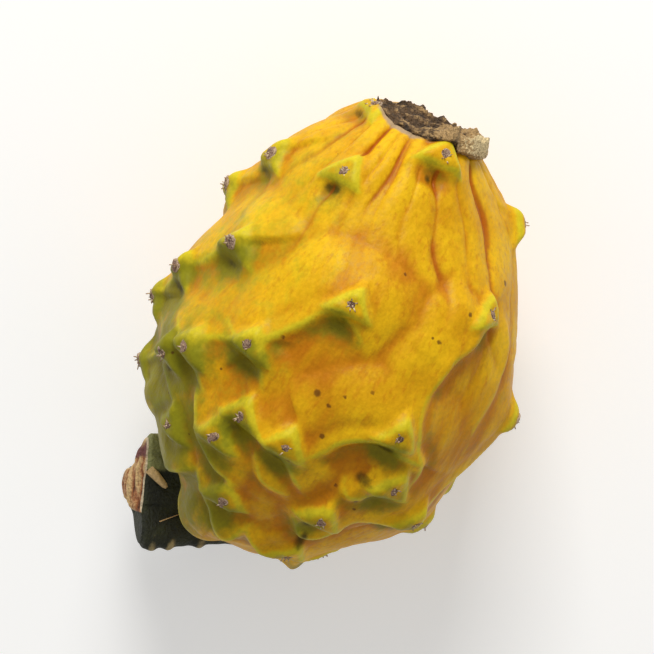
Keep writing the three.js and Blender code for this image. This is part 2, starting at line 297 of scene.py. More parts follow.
def add_piece(
    name: str,
    parts: Iterable[Surface],
    materials: Sequence[bpy.types.Material],
    nodes: Sequence[str],
) -> bpy.types.Object:
    """Makes a piece of surfaces, rides it on the body and lets it stand for its CAD nodes.

    Args:
        name: the piece's name.
        parts: its surfaces. What would lie below the floor is pressed flat on it.
        materials: the materials that the surfaces' finish numbers count.
        nodes: the CAD nodes that it stands for.

    Returns:
        The piece.
    """
    surface, finishes = joined(parts)
    places = LYING.place(surface.points)
    places[:, 2] = np.maximum(places[:, 2], 0)
    mesh = bpy.data.meshes.new(name)
    mesh.from_pydata(places.tolist(), [], surface.faces)
    for key, values in surface.values.items():
        attribute = mesh.attributes.new(key, "FLOAT", "POINT")
        attribute.data.foreach_set("value", np.asarray(values, dtype=np.float32))
    for material in materials:
        mesh.materials.append(material)
    mesh.polygons.foreach_set("material_index", finishes.astype(np.int32))
    mesh.shade_smooth()
    mesh.update()
    piece = bpy.data.objects.new(name, mesh)
    bpy.context.scene.collection.objects.link(piece)
    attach(piece, "root")
    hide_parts(*nodes)
    log.info("%s: %d points, %d faces", name, len(places), len(surface.faces))
    return piece


# ---------- The body under the bumps ----------


@dataclass(frozen=True)
class Egg:
    """The plain egg-shaped body that the bumps stand on."""

    length: float = 96.0
    girth: float = 33.7
    taper: float = 0.13
    pinch: float = 0.1
    cut_off: float = 4.5
    neck_shift: float = -5.0
    neck_length: float = 13.0
    bow: float = 0.5
    bow_centre: float = 42.0
    bow_length: float = 88.0

    def polar_at(self, depth: np.ndarray) -> np.ndarray:
        """The polar angle from the flower end at a depth: the arc cosine of its share of the length."""
        return np.arccos(np.clip(1 - 2 * (np.asarray(depth) + self.cut_off) / self.length, -1, 1))

    def depth_at(self, polar: np.ndarray) -> np.ndarray:
        """The depth at a polar angle."""
        return self.length / 2 * (1 - np.cos(polar)) - self.cut_off

    def radius_at(self, polar: np.ndarray) -> np.ndarray:
        """The radius: a sine, narrowed to the flower end by the taper and to both ends by the pinch."""
        towards = np.cos(polar)
        return self.girth * np.sin(polar) * (1 - self.taper * towards - self.pinch * towards**2)

    def sideways(self, depth: np.ndarray) -> np.ndarray:
        """How far the middle line stands aside: the neck by half a bell curve, the rest by a cosine."""
        neck = self.neck_shift * np.exp(-(np.maximum(depth, 0) ** 2) / (2 * self.neck_length**2))
        return neck + self.bow * np.cos(TURN * (depth - self.bow_centre) / self.bow_length)

    def point(self, polar: np.ndarray, around: np.ndarray) -> np.ndarray:
        """A point of the egg: a circle of the radius there, about the middle line, at its depth.

        Args:
            polar: polar angles from the flower end.
            around: angles round the axis.

        Returns:
            The points, with x, y and z along the last axis.
        """
        depth = self.depth_at(polar)
        radius = self.radius_at(polar)
        aside = self.sideways(depth) - self.sideways(np.zeros(1))[0]
        parts = [radius * np.cos(around), radius * np.sin(around) + aside, -depth + 0 * around]
        return np.stack(np.broadcast_arrays(*parts), axis=-1)

    def directions(
        self, polar: np.ndarray, around: np.ndarray
    ) -> tuple[np.ndarray, np.ndarray, np.ndarray]:
        """The egg's own directions, from small steps either way.

        Args:
            polar: polar angles from the flower end.
            around: angles round the axis.

        Returns:
            Unit vectors to the flower end, round the body and straight out.
        """
        step = 1e-3
        clear = np.clip(polar, 20 * step, math.pi - 20 * step)
        to_flower = unit(self.point(clear - step, around) - self.point(clear + step, around))
        across = unit(self.point(clear, around + step) - self.point(clear, around - step))
        return to_flower, across, unit(np.cross(across, to_flower))


EGG = Egg()


# ---------- Bumps, lobes, crests and pleats ----------


@dataclass(frozen=True)
class Bump:
    """One bump, the foot of a scale of the flower, or one lobe, with its directions on the egg."""

    depth: float
    height: float
    angle: float
    rests: bool
    point: np.ndarray
    to_flower: np.ndarray
    across: np.ndarray
    out: np.ndarray

    @classmethod
    def at(cls, depth: float, height: float, degrees: float, rests: bool) -> "Bump":
        """A bump on the egg.

        Args:
            depth: its depth.
            height: how high it stands.
            degrees: its angle round the body.
            rests: whether the fruit rests on it.

        Returns:
            The bump.
        """
        polar, angle = EGG.polar_at(depth), np.radians(degrees)
        to_flower, across, out = EGG.directions(polar, angle)
        place = EGG.point(polar, angle)
        return cls(depth, height, float(angle), rests, place, to_flower, across, out)


# Depth, height and the angles round the body in degrees of each row of bumps.
BUMP_ROWS = (
    (0, 3.4, (-66,)),
    (1.6, 6.4, (18,)),
    (8, 3.2, (155, -140)),
    (11, 3.8, (-32,)),
    (11, 6.0, (101,)),
    (18, 4.2, (-75,)),
    (23, 4.4, (49, 132, -178, -127)),
    (30, 5.4, (-5,)),
    (30, 4.4, (-91,)),
    (34, 4.2, (-54,)),
    (43, 3.8, (82,)),
    (46, 4.6, (-74, -27)),
    (48, 4.6, (26, 128, -126)),
    (54, 4.4, (-46,)),
    (56, 4.6, (-88,)),
    (59, 4.6, (-19, 36, -56, -2)),
    (65, 4.6, (55, -24, 114, -117)),
    (68, 3.6, (-88,)),
    (71, 4.6, (-47, 23)),
    (71, 3.6, (88,)),
    (71, 4.6, (140, -140)),
    (74, 3.8, (180,)),
    (77, 4.4, (-13, 112, -114)),
    (83, 3.8, (29,)),
    (84, 1.2, (60,)),
    (84, 3.4, (160, -88)),
)
# The fruit lies on these, which are pressed flat and have lost their pads.
RESTING_BUMPS = ((37, 4.8, (-160,)), (37, 5.6, (160,)), (62, 4.2, (163,)), (62, 5.0, (-157,)))


def bumps(rows: Iterable[tuple[float, float, tuple[float, ...]]], rest: bool) -> list[Bump]:
    """The bumps of some rows."""
    return [Bump.at(depth, height, angle, rest) for depth, height, around in rows for angle in around]


PADDED = bumps(BUMP_ROWS, False)
BUMPS = PADDED + bumps(RESTING_BUMPS, True)

# Round lobes of the skin, and hollows where the height is negative: depth, height and angle.
LOBE_PLACES = (
    (36, -1.8, 88),
    (62, -2.4, 90),
    (82, -1.6, 72),
    (65, -1.6, -80),
    (84, -1.2, -80),
    (70, 2.4, -78),
    (79, 1.2, -38),
    (85, 2.0, -6),
    (85, 2.8, 128),
    (86, 2.4, 178),
    (85, 2.8, -132),
)
LOBES = [Bump.at(depth, height, angle, False) for depth, height, angle in LOBE_PLACES]


def curve_through(knots: np.ndarray, steps: int) -> np.ndarray:
    """A smooth curve through some knots.

    Each span is a cubic whose slope at a knot is half the way from the knot before to the knot after.

    Args:
        knots: the knots, one a row.
        steps: how many points each span has.

    Returns:
        The curve's points, one a row.
    """
    padded = np.concatenate([2 * knots[:1] - knots[1:2], knots, 2 * knots[-1:] - knots[-2:-1]])
    before, start = padded[:-3, None], padded[1:-2, None]
    end, after = padded[2:-1, None], padded[3:, None]
    t = (np.arange(steps) / steps)[:, None]
    slope, bend = end - before, 2 * before - 5 * start + 4 * end - after
    twist = 3 * start - before - 3 * end + after
    curve = start + (slope * t + bend * t**2 + twist * t**3) / 2
    return np.concatenate([curve.reshape(-1, knots.shape[1]), knots[-1:]])


@dataclass(frozen=True)
class Crest:
    """A crest. The skin drops on the right hand of the way that it runs, and rises to it on the left."""

    points: np.ndarray
    along: np.ndarray
    out: np.ndarray
    heights: np.ndarray
    lengths: np.ndarray
    belly: float

    @classmethod
    def through(cls, belly: float, *places: tuple[float, float, float], steps: int = 6) -> "Crest":
        """A crest through some places on the egg.

        Args:
            belly: how long the skin's rise to it is.
            places: the depth, the angle in degrees and the crest's height at each.
            steps: how many points each span has.

        Returns:
            The crest.
        """
        depths, degrees, heights = curve_through(np.array(places, dtype=float), steps).T
        polar, angles = EGG.polar_at(depths), np.radians(degrees)
        points = EGG.point(polar, angles)
        runs = np.linalg.norm(np.diff(points, axis=0), axis=-1)
        along = unit(np.gradient(points, axis=0))
        lengths = np.concatenate([[0], np.cumsum(runs)])
        return cls(points, along, EGG.directions(polar, angles)[2], heights, lengths, belly)


# The crests on the side that shows the most, which is the front: how long each one's belly is, then
# its depth, angle and height at some places. A bump is named by its depth and angle, such as 23/49.
CREST_PLACES = (
    # From the first row to the third, past the bumps at 23/49 and 48/26.
    (
        8.0,
        (61, 42, 0.3), (57, 42, 1.6), (53, 40, 2.8), (49, 35, 2.4), (44, 31, 2.0), (39, 31, 2.2),
        (34, 34, 2.6),
    ),
    (9.0, (36, 32, 1.6), (34, 34, 2.6), (30, 39, 3.0), (27, 44, 3.0), (24, 51, 0.6)),
    (
        11.0,
        (61, 3, 0.8), (59, 7, 1.6), (55, 12, 2.4), (52, 18, 3.0), (51, 23, 3.2), (52, 31, 3.0),
        (53, 39, 2.2),
    ),
    # Under the bump at 59/36.
    (7.0, (61, 20, 0.2), (64, 24, 2.0), (64, 29, 2.4), (62, 33, 2.6), (62, 39, 1.4)),
    # Along the last row, under the bump at 71/23.
    (
        9.0,
        (73, 12, 0.3), (75, 18, 2.0), (77, 24, 2.8), (76, 31, 2.6), (71, 34, 1.8), (69, 40, 2.0),
        (68, 48, 2.4),
    ),
    (9.0, (69, 40, 1.4), (68, 48, 2.4), (69, 60, 2.6), (70, 70, 1.2)),
    # Down the flank, from the bump at 23/49.
    (
        6.0,
        (54, 60, 0.1), (49, 59, 1.1), (43, 59, 1.4), (37, 63, 1.5), (31, 66, 1.5), (26, 65, 1.0),
        (23, 60, 0.1),
    ),
    # Round the bumps at 46/-27 and 54/-46.
    (4.5, (46, -40, 0.9), (47, -32, 2.2), (48, -26, 2.4), (50, -21, 1.5), (54, -17, 0.2)),
    (5.5, (52, -61, 0.9), (54, -54, 2.1), (56, -46, 2.4), (58, -40, 1.8), (60, -36, 1.0)),
    # Under the bump at 59/-56, and the lobe below it.
    (6.0, (63, -68, 0.8), (64, -60, 2.0), (66, -52, 1.6), (68, -46, 0.3)),
    (5.0, (76, -76, 1.2), (73, -66, 1.4), (69, -56, 1.0), (67, -49, 0.3)),
    # The lobe at the stem end below those.
    (
        8.0,
        (86.5, -65, 0.3), (87.7, -60, 2.8), (88.7, -53, 4.2), (89.4, -46, 4.2), (90, -36, 3.6),
        (90.2, -24, 2.4), (90.4, -14, 0.8),
    ),
    # The lower edge of the lobe above it.
    (
        8.0,
        (78, -86, 0.4), (79, -78, 1.0), (80, -64, 2.0), (80, -50, 3.0), (79, -42, 2.8),
        (77.5, -35, 2.0), (75.5, -29, 0.3),
    ),
    # Round the bump at 65/-24.
    (
        6.0,
        (60, -39, 0.9), (63, -37, 2.0), (67, -33, 2.6), (70, -27, 3.0), (72, -21, 2.6),
        (73, -14, 1.6), (74, -8, 0.3),
    ),
    # Round the bump at 77/-13.
    (6.0, (75, -31, 0.3), (78, -26, 1.8), (81, -20, 2.6)),
    (6.0, (78, -26, 1.0), (81, -20, 2.6), (84, -12, 3.6), (84, -4, 3.0), (81, 3, 0.8)),
    # To the left of the bump at 83/29.
    (7.0, (81, -2, 0.3), (83, 5, 2.0), (84, 12, 3.0), (85, 18, 2.6), (87, 24, 0.5)),
    # The last tip, at the bottom.
    (7.0, (88.5, 42, 0.4), (88.2, 50, 1.6), (87.7, 55, 3.0), (87, 59, 2.4), (86, 63, 0.3)),
    # Round the bump at 59/-2, and the fold below it.
    (
        6.0,
        (57, -18, 0.7), (60, -12, 2.2), (62, -6, 2.8), (63, 1, 2.6), (66, 8, 1.8), (69, 15, 0.3),
    ),
    (4.0, (63, -12, 0.2), (66, -8, 1.4), (69, -3, 1.8), (70, 5, 1.4), (70, 11, 0.2)),
    # Down to the left from the bump at 30/-5.
    (
        11.0,
        (46, -26, 1.8), (43, -23, 2.4), (40, -20, 2.4), (37, -17, 2.4), (34, -13, 2.6),
        (33, -7, 2.8), (34, -1, 2.0), (36, 3, 1.0), (38, 7, 0.1),
    ),
    (9.0, (54, -46, 2.0), (51, -43, 2.0), (49, -38, 2.0), (47, -32, 2.2)),
    (9.0, (59, -58, 2.0), (57, -54, 2.0), (55, -50, 2.0)),
)


@dataclass(frozen=True)
class CrestRule:
    """Where the crests run round the rest of the fruit: from each bump to two of its neighbours."""

    front: float = 50.0
    belly: float = 11.0
    share: float = 0.62
    sinks_to: float = 0.7
    least_back: float = 1.5
    least_across: float = 2.5
    longest: float = 33.0
    best_slant: float = 50.0
    slant_cost: float = 0.5
    weaker_side: float = 0.4
    starts_at: tuple[float, float] = (2.0, 26.0)

    def neighbour(self, bump: Bump, side: int) -> Bump | None:
        """The nearest neighbour on the stem side.

        Args:
            bump: the bump that the crest starts from.
            side: 1 or -1, the side round the body.

        Returns:
            The bump with the least cost, which is its distance, raised as its slant leaves the best one.
        """
        best, least = None, math.inf
        for other in BUMPS:
            back = other.depth - bump.depth
            radius = sum(EGG.radius_at(EGG.polar_at(one.depth)) for one in (bump, other)) / 2
            across = side * radius * wrap(other.angle - bump.angle)
            distance = math.hypot(back, across)
            if back < self.least_back or across < self.least_across or distance > self.longest:
                continue
            slant = abs(math.atan2(across, back) - math.radians(self.best_slant))
            cost = distance * (1 + self.slant_cost * slant)
            if cost < least:
                best, least = other, cost
        return best

    def crests(self) -> list[Crest]:
        """The crests of the bumps beyond the front, two from each where a neighbour is in reach.

        Those that wind one way round the fruit are the stronger, and they fade towards the neck.

        Returns:
            The crests.
        """
        made = []
        for bump, side in itertools.product(BUMPS, (-1, 1)):
            other = self.neighbour(bump, side)
            if other is None or math.degrees(min(abs(bump.angle), abs(other.angle))) < self.front:
                continue
            share = self.share * float(smooth_step(np.array(bump.depth), *self.starts_at))
            share *= 1 if side < 0 else self.weaker_side
            start = math.degrees(bump.angle)
            end = math.degrees(bump.angle + wrap(other.angle - bump.angle))
            high, low = bump.height * share, bump.height * share * self.sinks_to
            places = [(bump.depth, start, high), (other.depth, end, low)]
            made.append(Crest.through(self.belly, *places[::side], steps=20))
        return made


@dataclass
class Relief:
    """What stands up from the egg at some points, with the values that colour the skin there."""

    lift: np.ndarray
    # Dark olive behind each bump's plate, darkened as painted shade.
    pit_olive_and_shade: np.ndarray
    halo: np.ndarray
    crest: np.ndarray
    edge: np.ndarray
    # Painted shade: the band where the skin drops from a crest.
    under: np.ndarray
    rim: np.ndarray
    plate: np.ndarray
    pleat: np.ndarray
    # Painted shade in the creases between the pleats.
    crease: np.ndarray

    @classmethod
    def flat(cls, count: int) -> "Relief":
        """No relief at all, at a number of points."""
        return cls(*(np.zeros(count) for _ in fields(cls)))


@dataclass(frozen=True)
class Folds:
    """A row of puffed folds round the neck, with sharp creases between them."""

    count: float
    start: float
    sway: float
    sway_count: int
    sway_start: float
    wander: float
    height: float
    # How strongly the creases between the folds are painted with shade.
    crease: float
    crease_width: float
    sunk: float = 0.75

    def wave(self, around: np.ndarray, wander: np.ndarray) -> np.ndarray:
        """The absolute value of a sine, whose phase sways and wanders: 0 in the creases.

        Args:
            around: angles round the axis.
            wander: grain that shifts the phase.

        Returns:
            One value for each angle.
        """
        phase = self.count * around + self.start
        phase = phase + self.sway * np.sin(self.sway_count * around + self.sway_start)
        return np.abs(np.sin(phase + self.wander * wander))


BROAD_FOLDS = Folds(
    count=5.5,
    start=0.3,
    sway=0.45,
    sway_count=2,
    sway_start=1.0,
    wander=1.3,
    height=1.2,
    crease=1.0,
    crease_width=0.2,
)
FINE_FOLDS = Folds(
    count=11.0,
    start=1.0,
    sway=0.7,
    sway_count=3,
    sway_start=0.0,
    wander=2.0,
    height=0.6,
    crease=0.5,
    crease_width=0.22,
)


@dataclass(frozen=True)
class SkinShape:
    """The skin's relief: bumps, lobes, the crests between them, pleats at the neck and fine wrinkles."""

    mound_share: float = 0.26
    mound_reach: tuple[float, float, float] = (8.0, 7.0, 7.5)
    bump_reach: tuple[float, float] = (16.0, 22.0)
    plate_share: float = 0.37
    plate_ahead: float = 4.2
    plate_behind: float = 2.7
    plate_slope: float = 1.55
    plate_sides: tuple[float, float] = (-1.9, 1.1)
    plate_base: tuple[float, float] = (-1.6, 1.2)
    plate_rise: float = 0.4
    corner_round: float = 0.3
    corner_cut: float = 0.5
    rim_height: float = 0.26
    rim_inside: float = 0.6
    rim_width: float = 0.55
    rim_fades: tuple[float, float] = (-0.8, 0.6)
    base_inside: float = 0.4
    base_width: float = 0.45
    base_fades: tuple[float, float] = (-0.6, 0.8)
    dish_depth: float = 0.5
    dish_back: float = 0.2
    dish_radius: float = 1.5
    scoop_share: float = 0.2
    scoop_behind: float = 4.7
    scoop_reach: tuple[float, float] = (1.9, 2.8)
    pit_behind: float = 3.7
    pit_aside: float = 0.5
    pit_reach: tuple[float, float] = (1.3, 2.3)
    halo_reach: float = 4.2
    lobe_reach: tuple[float, float, float] = (5.5, 5.5, 6.8)
    lobe_power: float = 3.0
    end_height: float = 2.4
    end_depths: tuple[float, float] = (83.0, 91.0)
    crest_blend: float = 4.0
    welt_share: float = 0.2
    welt_widths: tuple[float, float] = (1.4, 0.9)
    belly_from_crest: float = 0.32
    furrow_share: float = 0.1
    furrow_at: float = 3.2
    furrow_width: float = 1.1
    drop_width: float = 1.8
    brow_width: float = 0.6
    full_height: float = 2.4
    edge_width: float = 0.6
    # Where the band of painted shade on the drop side of a crest lies, and how wide it is.
    painted_shade_at: float = 2.4
    painted_shade_width: float = 2.2
    facing: float = 0.3
    pleat_wander: float = 13.0
    pleat_length: float = 27.0
    pleat_rises: tuple[float, float] = (-2.0, 3.0)
    pleat_uneven: float = 0.6
    pleat_patch: float = 9.0
    pleat_stop: tuple[float, float] = (0.9, 1.3)
    warp: float = 0.7
    warp_length: float = 6.5
    wrinkle: float = 0.08
    long_wrinkles: tuple[float, float, float] = (1.6, 1.6, 7.0)
    short_wrinkles: tuple[float, float, float] = (0.9, 0.9, 3.0)
    swell: float = 0.35
    swell_length: float = 9.0

    def bump_relief(self, relief: Relief, points: np.ndarray, bump: Bump) -> None:
        """Adds one bump to the relief, where it reaches.

        A bump is a broad mound with a three-cornered plate on it, the foot of the scale. The plate
        rises a little to its corner at the flower side and drops all round, with a scoop behind its
        base. A raised rim runs round it, and a shallow dish in it holds the pad.

        Args:
            relief: the relief to add to.
            points: the egg's points.
            bump: the bump.
        """
        offsets = points - bump.point
        distances = np.linalg.norm(offsets, axis=-1)
        near = np.flatnonzero(distances < self.bump_reach[1])
        offset, distance = offsets[near], distances[near]
        ahead, across = offset @ bump.to_flower, offset @ bump.across
        fade = 1 - smooth_step(distance, *self.bump_reach)
        to_flower, to_stem, beside = self.mound_reach
        mound = bell(ahead, np.where(ahead > 0, to_flower, to_stem)) * bell(across, beside)
        plate, rim = self.plate(ahead, across)
        long, wide = self.scoop_reach
        scoop = bell(ahead + self.scoop_behind, long) * bell(across, wide)
        shares = self.mound_share * mound + self.plate_share * plate - self.scoop_share * scoop
        dish = bell(np.hypot(ahead + self.dish_back, across), self.dish_radius)
        detail = 0 if bump.rests else self.rim_height * rim - self.dish_depth * dish
        relief.lift[near] += bump.height * fade * shares + detail
        relief.plate[near] = np.maximum(relief.plate[near], plate)
        relief.rim[near] = np.maximum(relief.rim[near], rim)
        long, wide = self.pit_reach
        # Where the skin is painted dark olive as shade, in the scoop behind the plate.
        pit_olive_and_shade = bell(ahead + self.pit_behind, long) * bell(across + self.pit_aside, wide)
        halo = bell(np.hypot(ahead + self.pit_behind, across), self.halo_reach)
        relief.pit_olive_and_shade[near] = np.maximum(relief.pit_olive_and_shade[near], pit_olive_and_shade)
        relief.halo[near] = np.maximum(relief.halo[near], halo)

    def plate(self, ahead: np.ndarray, across: np.ndarray) -> tuple[np.ndarray, np.ndarray]:
        """The three-cornered plate of a bump: smooth steps over the distances beyond its sides and base.

        It grows by a share towards the corner at the flower side, which a square root rounds off.

        Args:
            ahead: how far points lie to the flower from the bump.
            across: how far they lie aside.

        Returns:
            The plate, and the rim that runs round it, bell curves just inside its edges.
        """
        aside = np.sqrt(across**2 + self.corner_round) - self.corner_cut
        slope = self.plate_slope
        beyond_side = (ahead - self.plate_ahead + slope * aside) / math.hypot(1, slope)
        beyond_base = -self.plate_behind - ahead
        within_sides = 1 - smooth_step(beyond_side, *self.plate_sides)
        within_base = 1 - smooth_step(beyond_base, *self.plate_base)
        share = (ahead + self.plate_behind) / (self.plate_ahead + self.plate_behind)
        rise = 1 + self.plate_rise * np.clip(share, 0, 1)
        side_rim = bell(beyond_side + self.rim_inside, self.rim_width)
        base_rim = bell(beyond_base + self.base_inside, self.base_width)
        side_rim = side_rim * (1 - smooth_step(beyond_base, *self.rim_fades))
        base_rim = base_rim * (1 - smooth_step(beyond_side, *self.base_fades))
        return within_sides * within_base * rise, np.maximum(side_rim, base_rim)

    def lobe_relief(self, relief: Relief, points: np.ndarray, lobe: Bump) -> None:
        """Adds one round lobe to the relief: a peak with a full top and steep sides.

        Args:
            relief: the relief to add to.
            points: the egg's points.
            lobe: the lobe, which is a hollow where its height is negative.
        """
        offsets = points - lobe.point
        near = np.flatnonzero(np.linalg.norm(offsets, axis=-1) < self.bump_reach[0])
        ahead, across = offsets[near] @ lobe.to_flower, offsets[near] @ lobe.across
        rise = self.peak(ahead, across, self.lobe_reach, self.lobe_power)
        relief.lift[near] += lobe.height * rise

    def peak(
        self, ahead: np.ndarray, across: np.ndarray, reach: tuple[float, float, float], power: float
    ) -> np.ndarray:
        """A peak: e to the minus distance to a power, with its own reach to each end and across."""
        along = ahead / np.where(ahead > 0, reach[0], reach[1])
        return np.exp(-(np.hypot(along, across / reach[2]) ** power))

    def crest_relief(self, relief: Relief, points: np.ndarray, out: np.ndarray, crest: Crest) -> None:
        """Adds one crest's height, raised to the power that blends the crests.

        Its cross-section is a narrow welt along the line. On its left hand the skin rises to it in a
        broad belly, an arch of a parabola, with a shallow furrow before the crest. On its right hand
        it drops steeply, by a bell curve.

        Args:
            relief: the relief, whose crest is raised.
            points: the egg's points.
            out: the directions straight out at the points.
            crest: the crest.
        """
        middle = len(crest.points) // 2
        brow = self.belly_from_crest * crest.belly
        reach = crest.lengths[-1] / 2 + brow + crest.belly + 1
        close = np.linalg.norm(points - crest.points[middle], axis=-1) < reach
        near = np.flatnonzero(close & (out @ crest.out[middle] > self.facing))
        offsets = points[near, None] - crest.points
        nearest = np.argmin(np.sum(offsets**2, axis=-1), axis=1)
        offset, along, outward = offsets[np.arange(len(near)), nearest], crest.along[nearest], out[near]
        run = np.sum(offset * along, axis=-1)
        right = np.sum(offset * np.cross(along, outward), axis=-1)
        before = np.where(nearest == 0, np.maximum(-run, 0), 0)
        after = np.where(nearest == len(crest.points) - 1, np.maximum(run, 0), 0)
        distance = np.hypot(right, before + after)
        half_step = crest.lengths[-1] / (len(crest.points) - 1) / 2
        place = crest.lengths[nearest] + np.clip(run, -half_step, half_step)
        peak = np.interp(place, crest.lengths, crest.heights)
        dropping = smooth_step(right, -self.brow_width, self.brow_width)
        belly = np.clip(1 - ((distance - brow) / crest.belly) ** 2, 0, 1)
        belly -= self.furrow_share * bell(distance - self.furrow_at, self.furrow_width)
        drop = (1 - self.belly_from_crest**2) * bell(distance, self.drop_width)
        slope = (1 - dropping) * belly + dropping * drop
        welt = bell(distance, np.where(right > 0, self.welt_widths[1], self.welt_widths[0]))
        height = peak * (self.welt_share * welt + (1 - self.welt_share) * slope)
        relief.crest[near] += np.maximum(height, 0) ** self.crest_blend
        strength = np.clip(peak / self.full_height, 0, 1)
        relief.edge[near] = np.maximum(relief.edge[near], bell(distance, self.edge_width) * strength)
        # Painted shade: a band on the side where the skin drops from the crest, which the finish colours
        # amber and green.
        under = dropping * bell(distance - self.painted_shade_at, self.painted_shade_width) * strength
        relief.under[near] = np.maximum(relief.under[near], under)

    def pleats(self, relief: Relief, points: np.ndarray, around: np.ndarray) -> None:
        """Adds the pleats that gather the skin towards the rim.

        They are two rows of puffed folds, each the root of its wave, which dies out down the body.
        They are nearly flat on the plates of the bumps.

        Args:
            relief: the relief to add to.
            points: the egg's points.
            around: their angles round the axis.
        """
        depth = -points[:, 2]
        wander = SKIN_GRAIN.at(points, self.pleat_wander)
        fade = bell(depth, self.pleat_length) * smooth_step(depth, *self.pleat_rises)
        uneven = np.clip(1 + self.pleat_uneven * SKIN_GRAIN.at(points + 90, self.pleat_patch), 0, 2)
        stop, steep = self.pleat_stop
        uneven *= fade * (1 - stop * np.clip(steep * np.maximum(relief.plate, relief.rim), 0, 1))
        for folds in (BROAD_FOLDS, FINE_FOLDS):
            wave = folds.wave(around, wander)
            relief.pleat += folds.height * (np.sqrt(wave) - folds.sunk)
            # Painted shade: a darker orange along the creases.
            relief.crease += folds.crease * bell(wave, folds.crease_width)
        relief.pleat *= uneven
        relief.crease *= uneven

    def relief(self, polar: np.ndarray, around: np.ndarray) -> tuple[np.ndarray, np.ndarray, Relief]:
        """The relief over a flat list of angles.

        Args:
            polar: polar angles from the flower end.
            around: angles round the axis.

        Returns:
            The egg's points, the directions straight out, and the relief there.
        """
        points = EGG.point(polar, around)
        out = EGG.directions(polar, around)[2]
        relief = Relief.flat(len(points))
        shift = [SKIN_GRAIN.at(points + 17.0 * i, self.warp_length) for i in range(3)]
        warped = points + self.warp * np.stack(shift, axis=-1)
        for bump in BUMPS:
            self.bump_relief(relief, warped, bump)
        for lobe in LOBES:
            self.lobe_relief(relief, warped, lobe)
        for crest in CRESTS:
            self.crest_relief(relief, warped, out, crest)
        relief.crest **= 1 / self.crest_blend
        self.pleats(relief, points, around)
        end = self.end_height * smooth_step(-points[:, 2], *self.end_depths)
        relief.lift += relief.crest + relief.pleat + end
        return points, out, relief

    def wrinkles(self, points: np.ndarray) -> np.ndarray:
        """Soft unevenness of the skin, and finer wrinkles that run along the body.

        Args:
            points: the egg's points. A shift of them picks another part of the grain.

        Returns:
            How far each stands out.
        """
        broad = SKIN_GRAIN.at(points, self.swell_length)
        along = SKIN_GRAIN.at(points + 50, self.long_wrinkles)
        along = along + 0.5 * SKIN_GRAIN.at(points - 20, self.short_wrinkles)
        return self.swell * broad + self.wrinkle * along

    def skin_point(self, polar: np.ndarray, around: np.ndarray) -> np.ndarray:
        """The finished skin at some angles: the egg's point, lifted straight out.

        Args:
            polar: polar angles from the flower end.
            around: angles round the axis.

        Returns:
            The skin's points, with x, y and z along the last axis.
        """
        shape = np.broadcast(polar, around).shape
        flat_polar, flat_around = (np.broadcast_to(a, shape).ravel() for a in (polar, around))
        points, out, relief = self.relief(flat_polar, flat_around)
        lifted = relief.lift + self.wrinkles(points)
        return (points + out * lifted[:, None]).reshape(*shape, 3)


SKIN_GRAIN = Grain(seed=11)
CRESTS = [*(Crest.through(*row) for row in CREST_PLACES), *CrestRule().crests()]
SKIN = SkinShape()


# ---------- Shader helpers ----------


@dataclass(frozen=True)
class Layer:
    """A colour laid over a finish, where one of the mesh's named values rises from low to high."""

    name: str
    low: float
    high: float
    colour: Colour
    most: float = 1.0


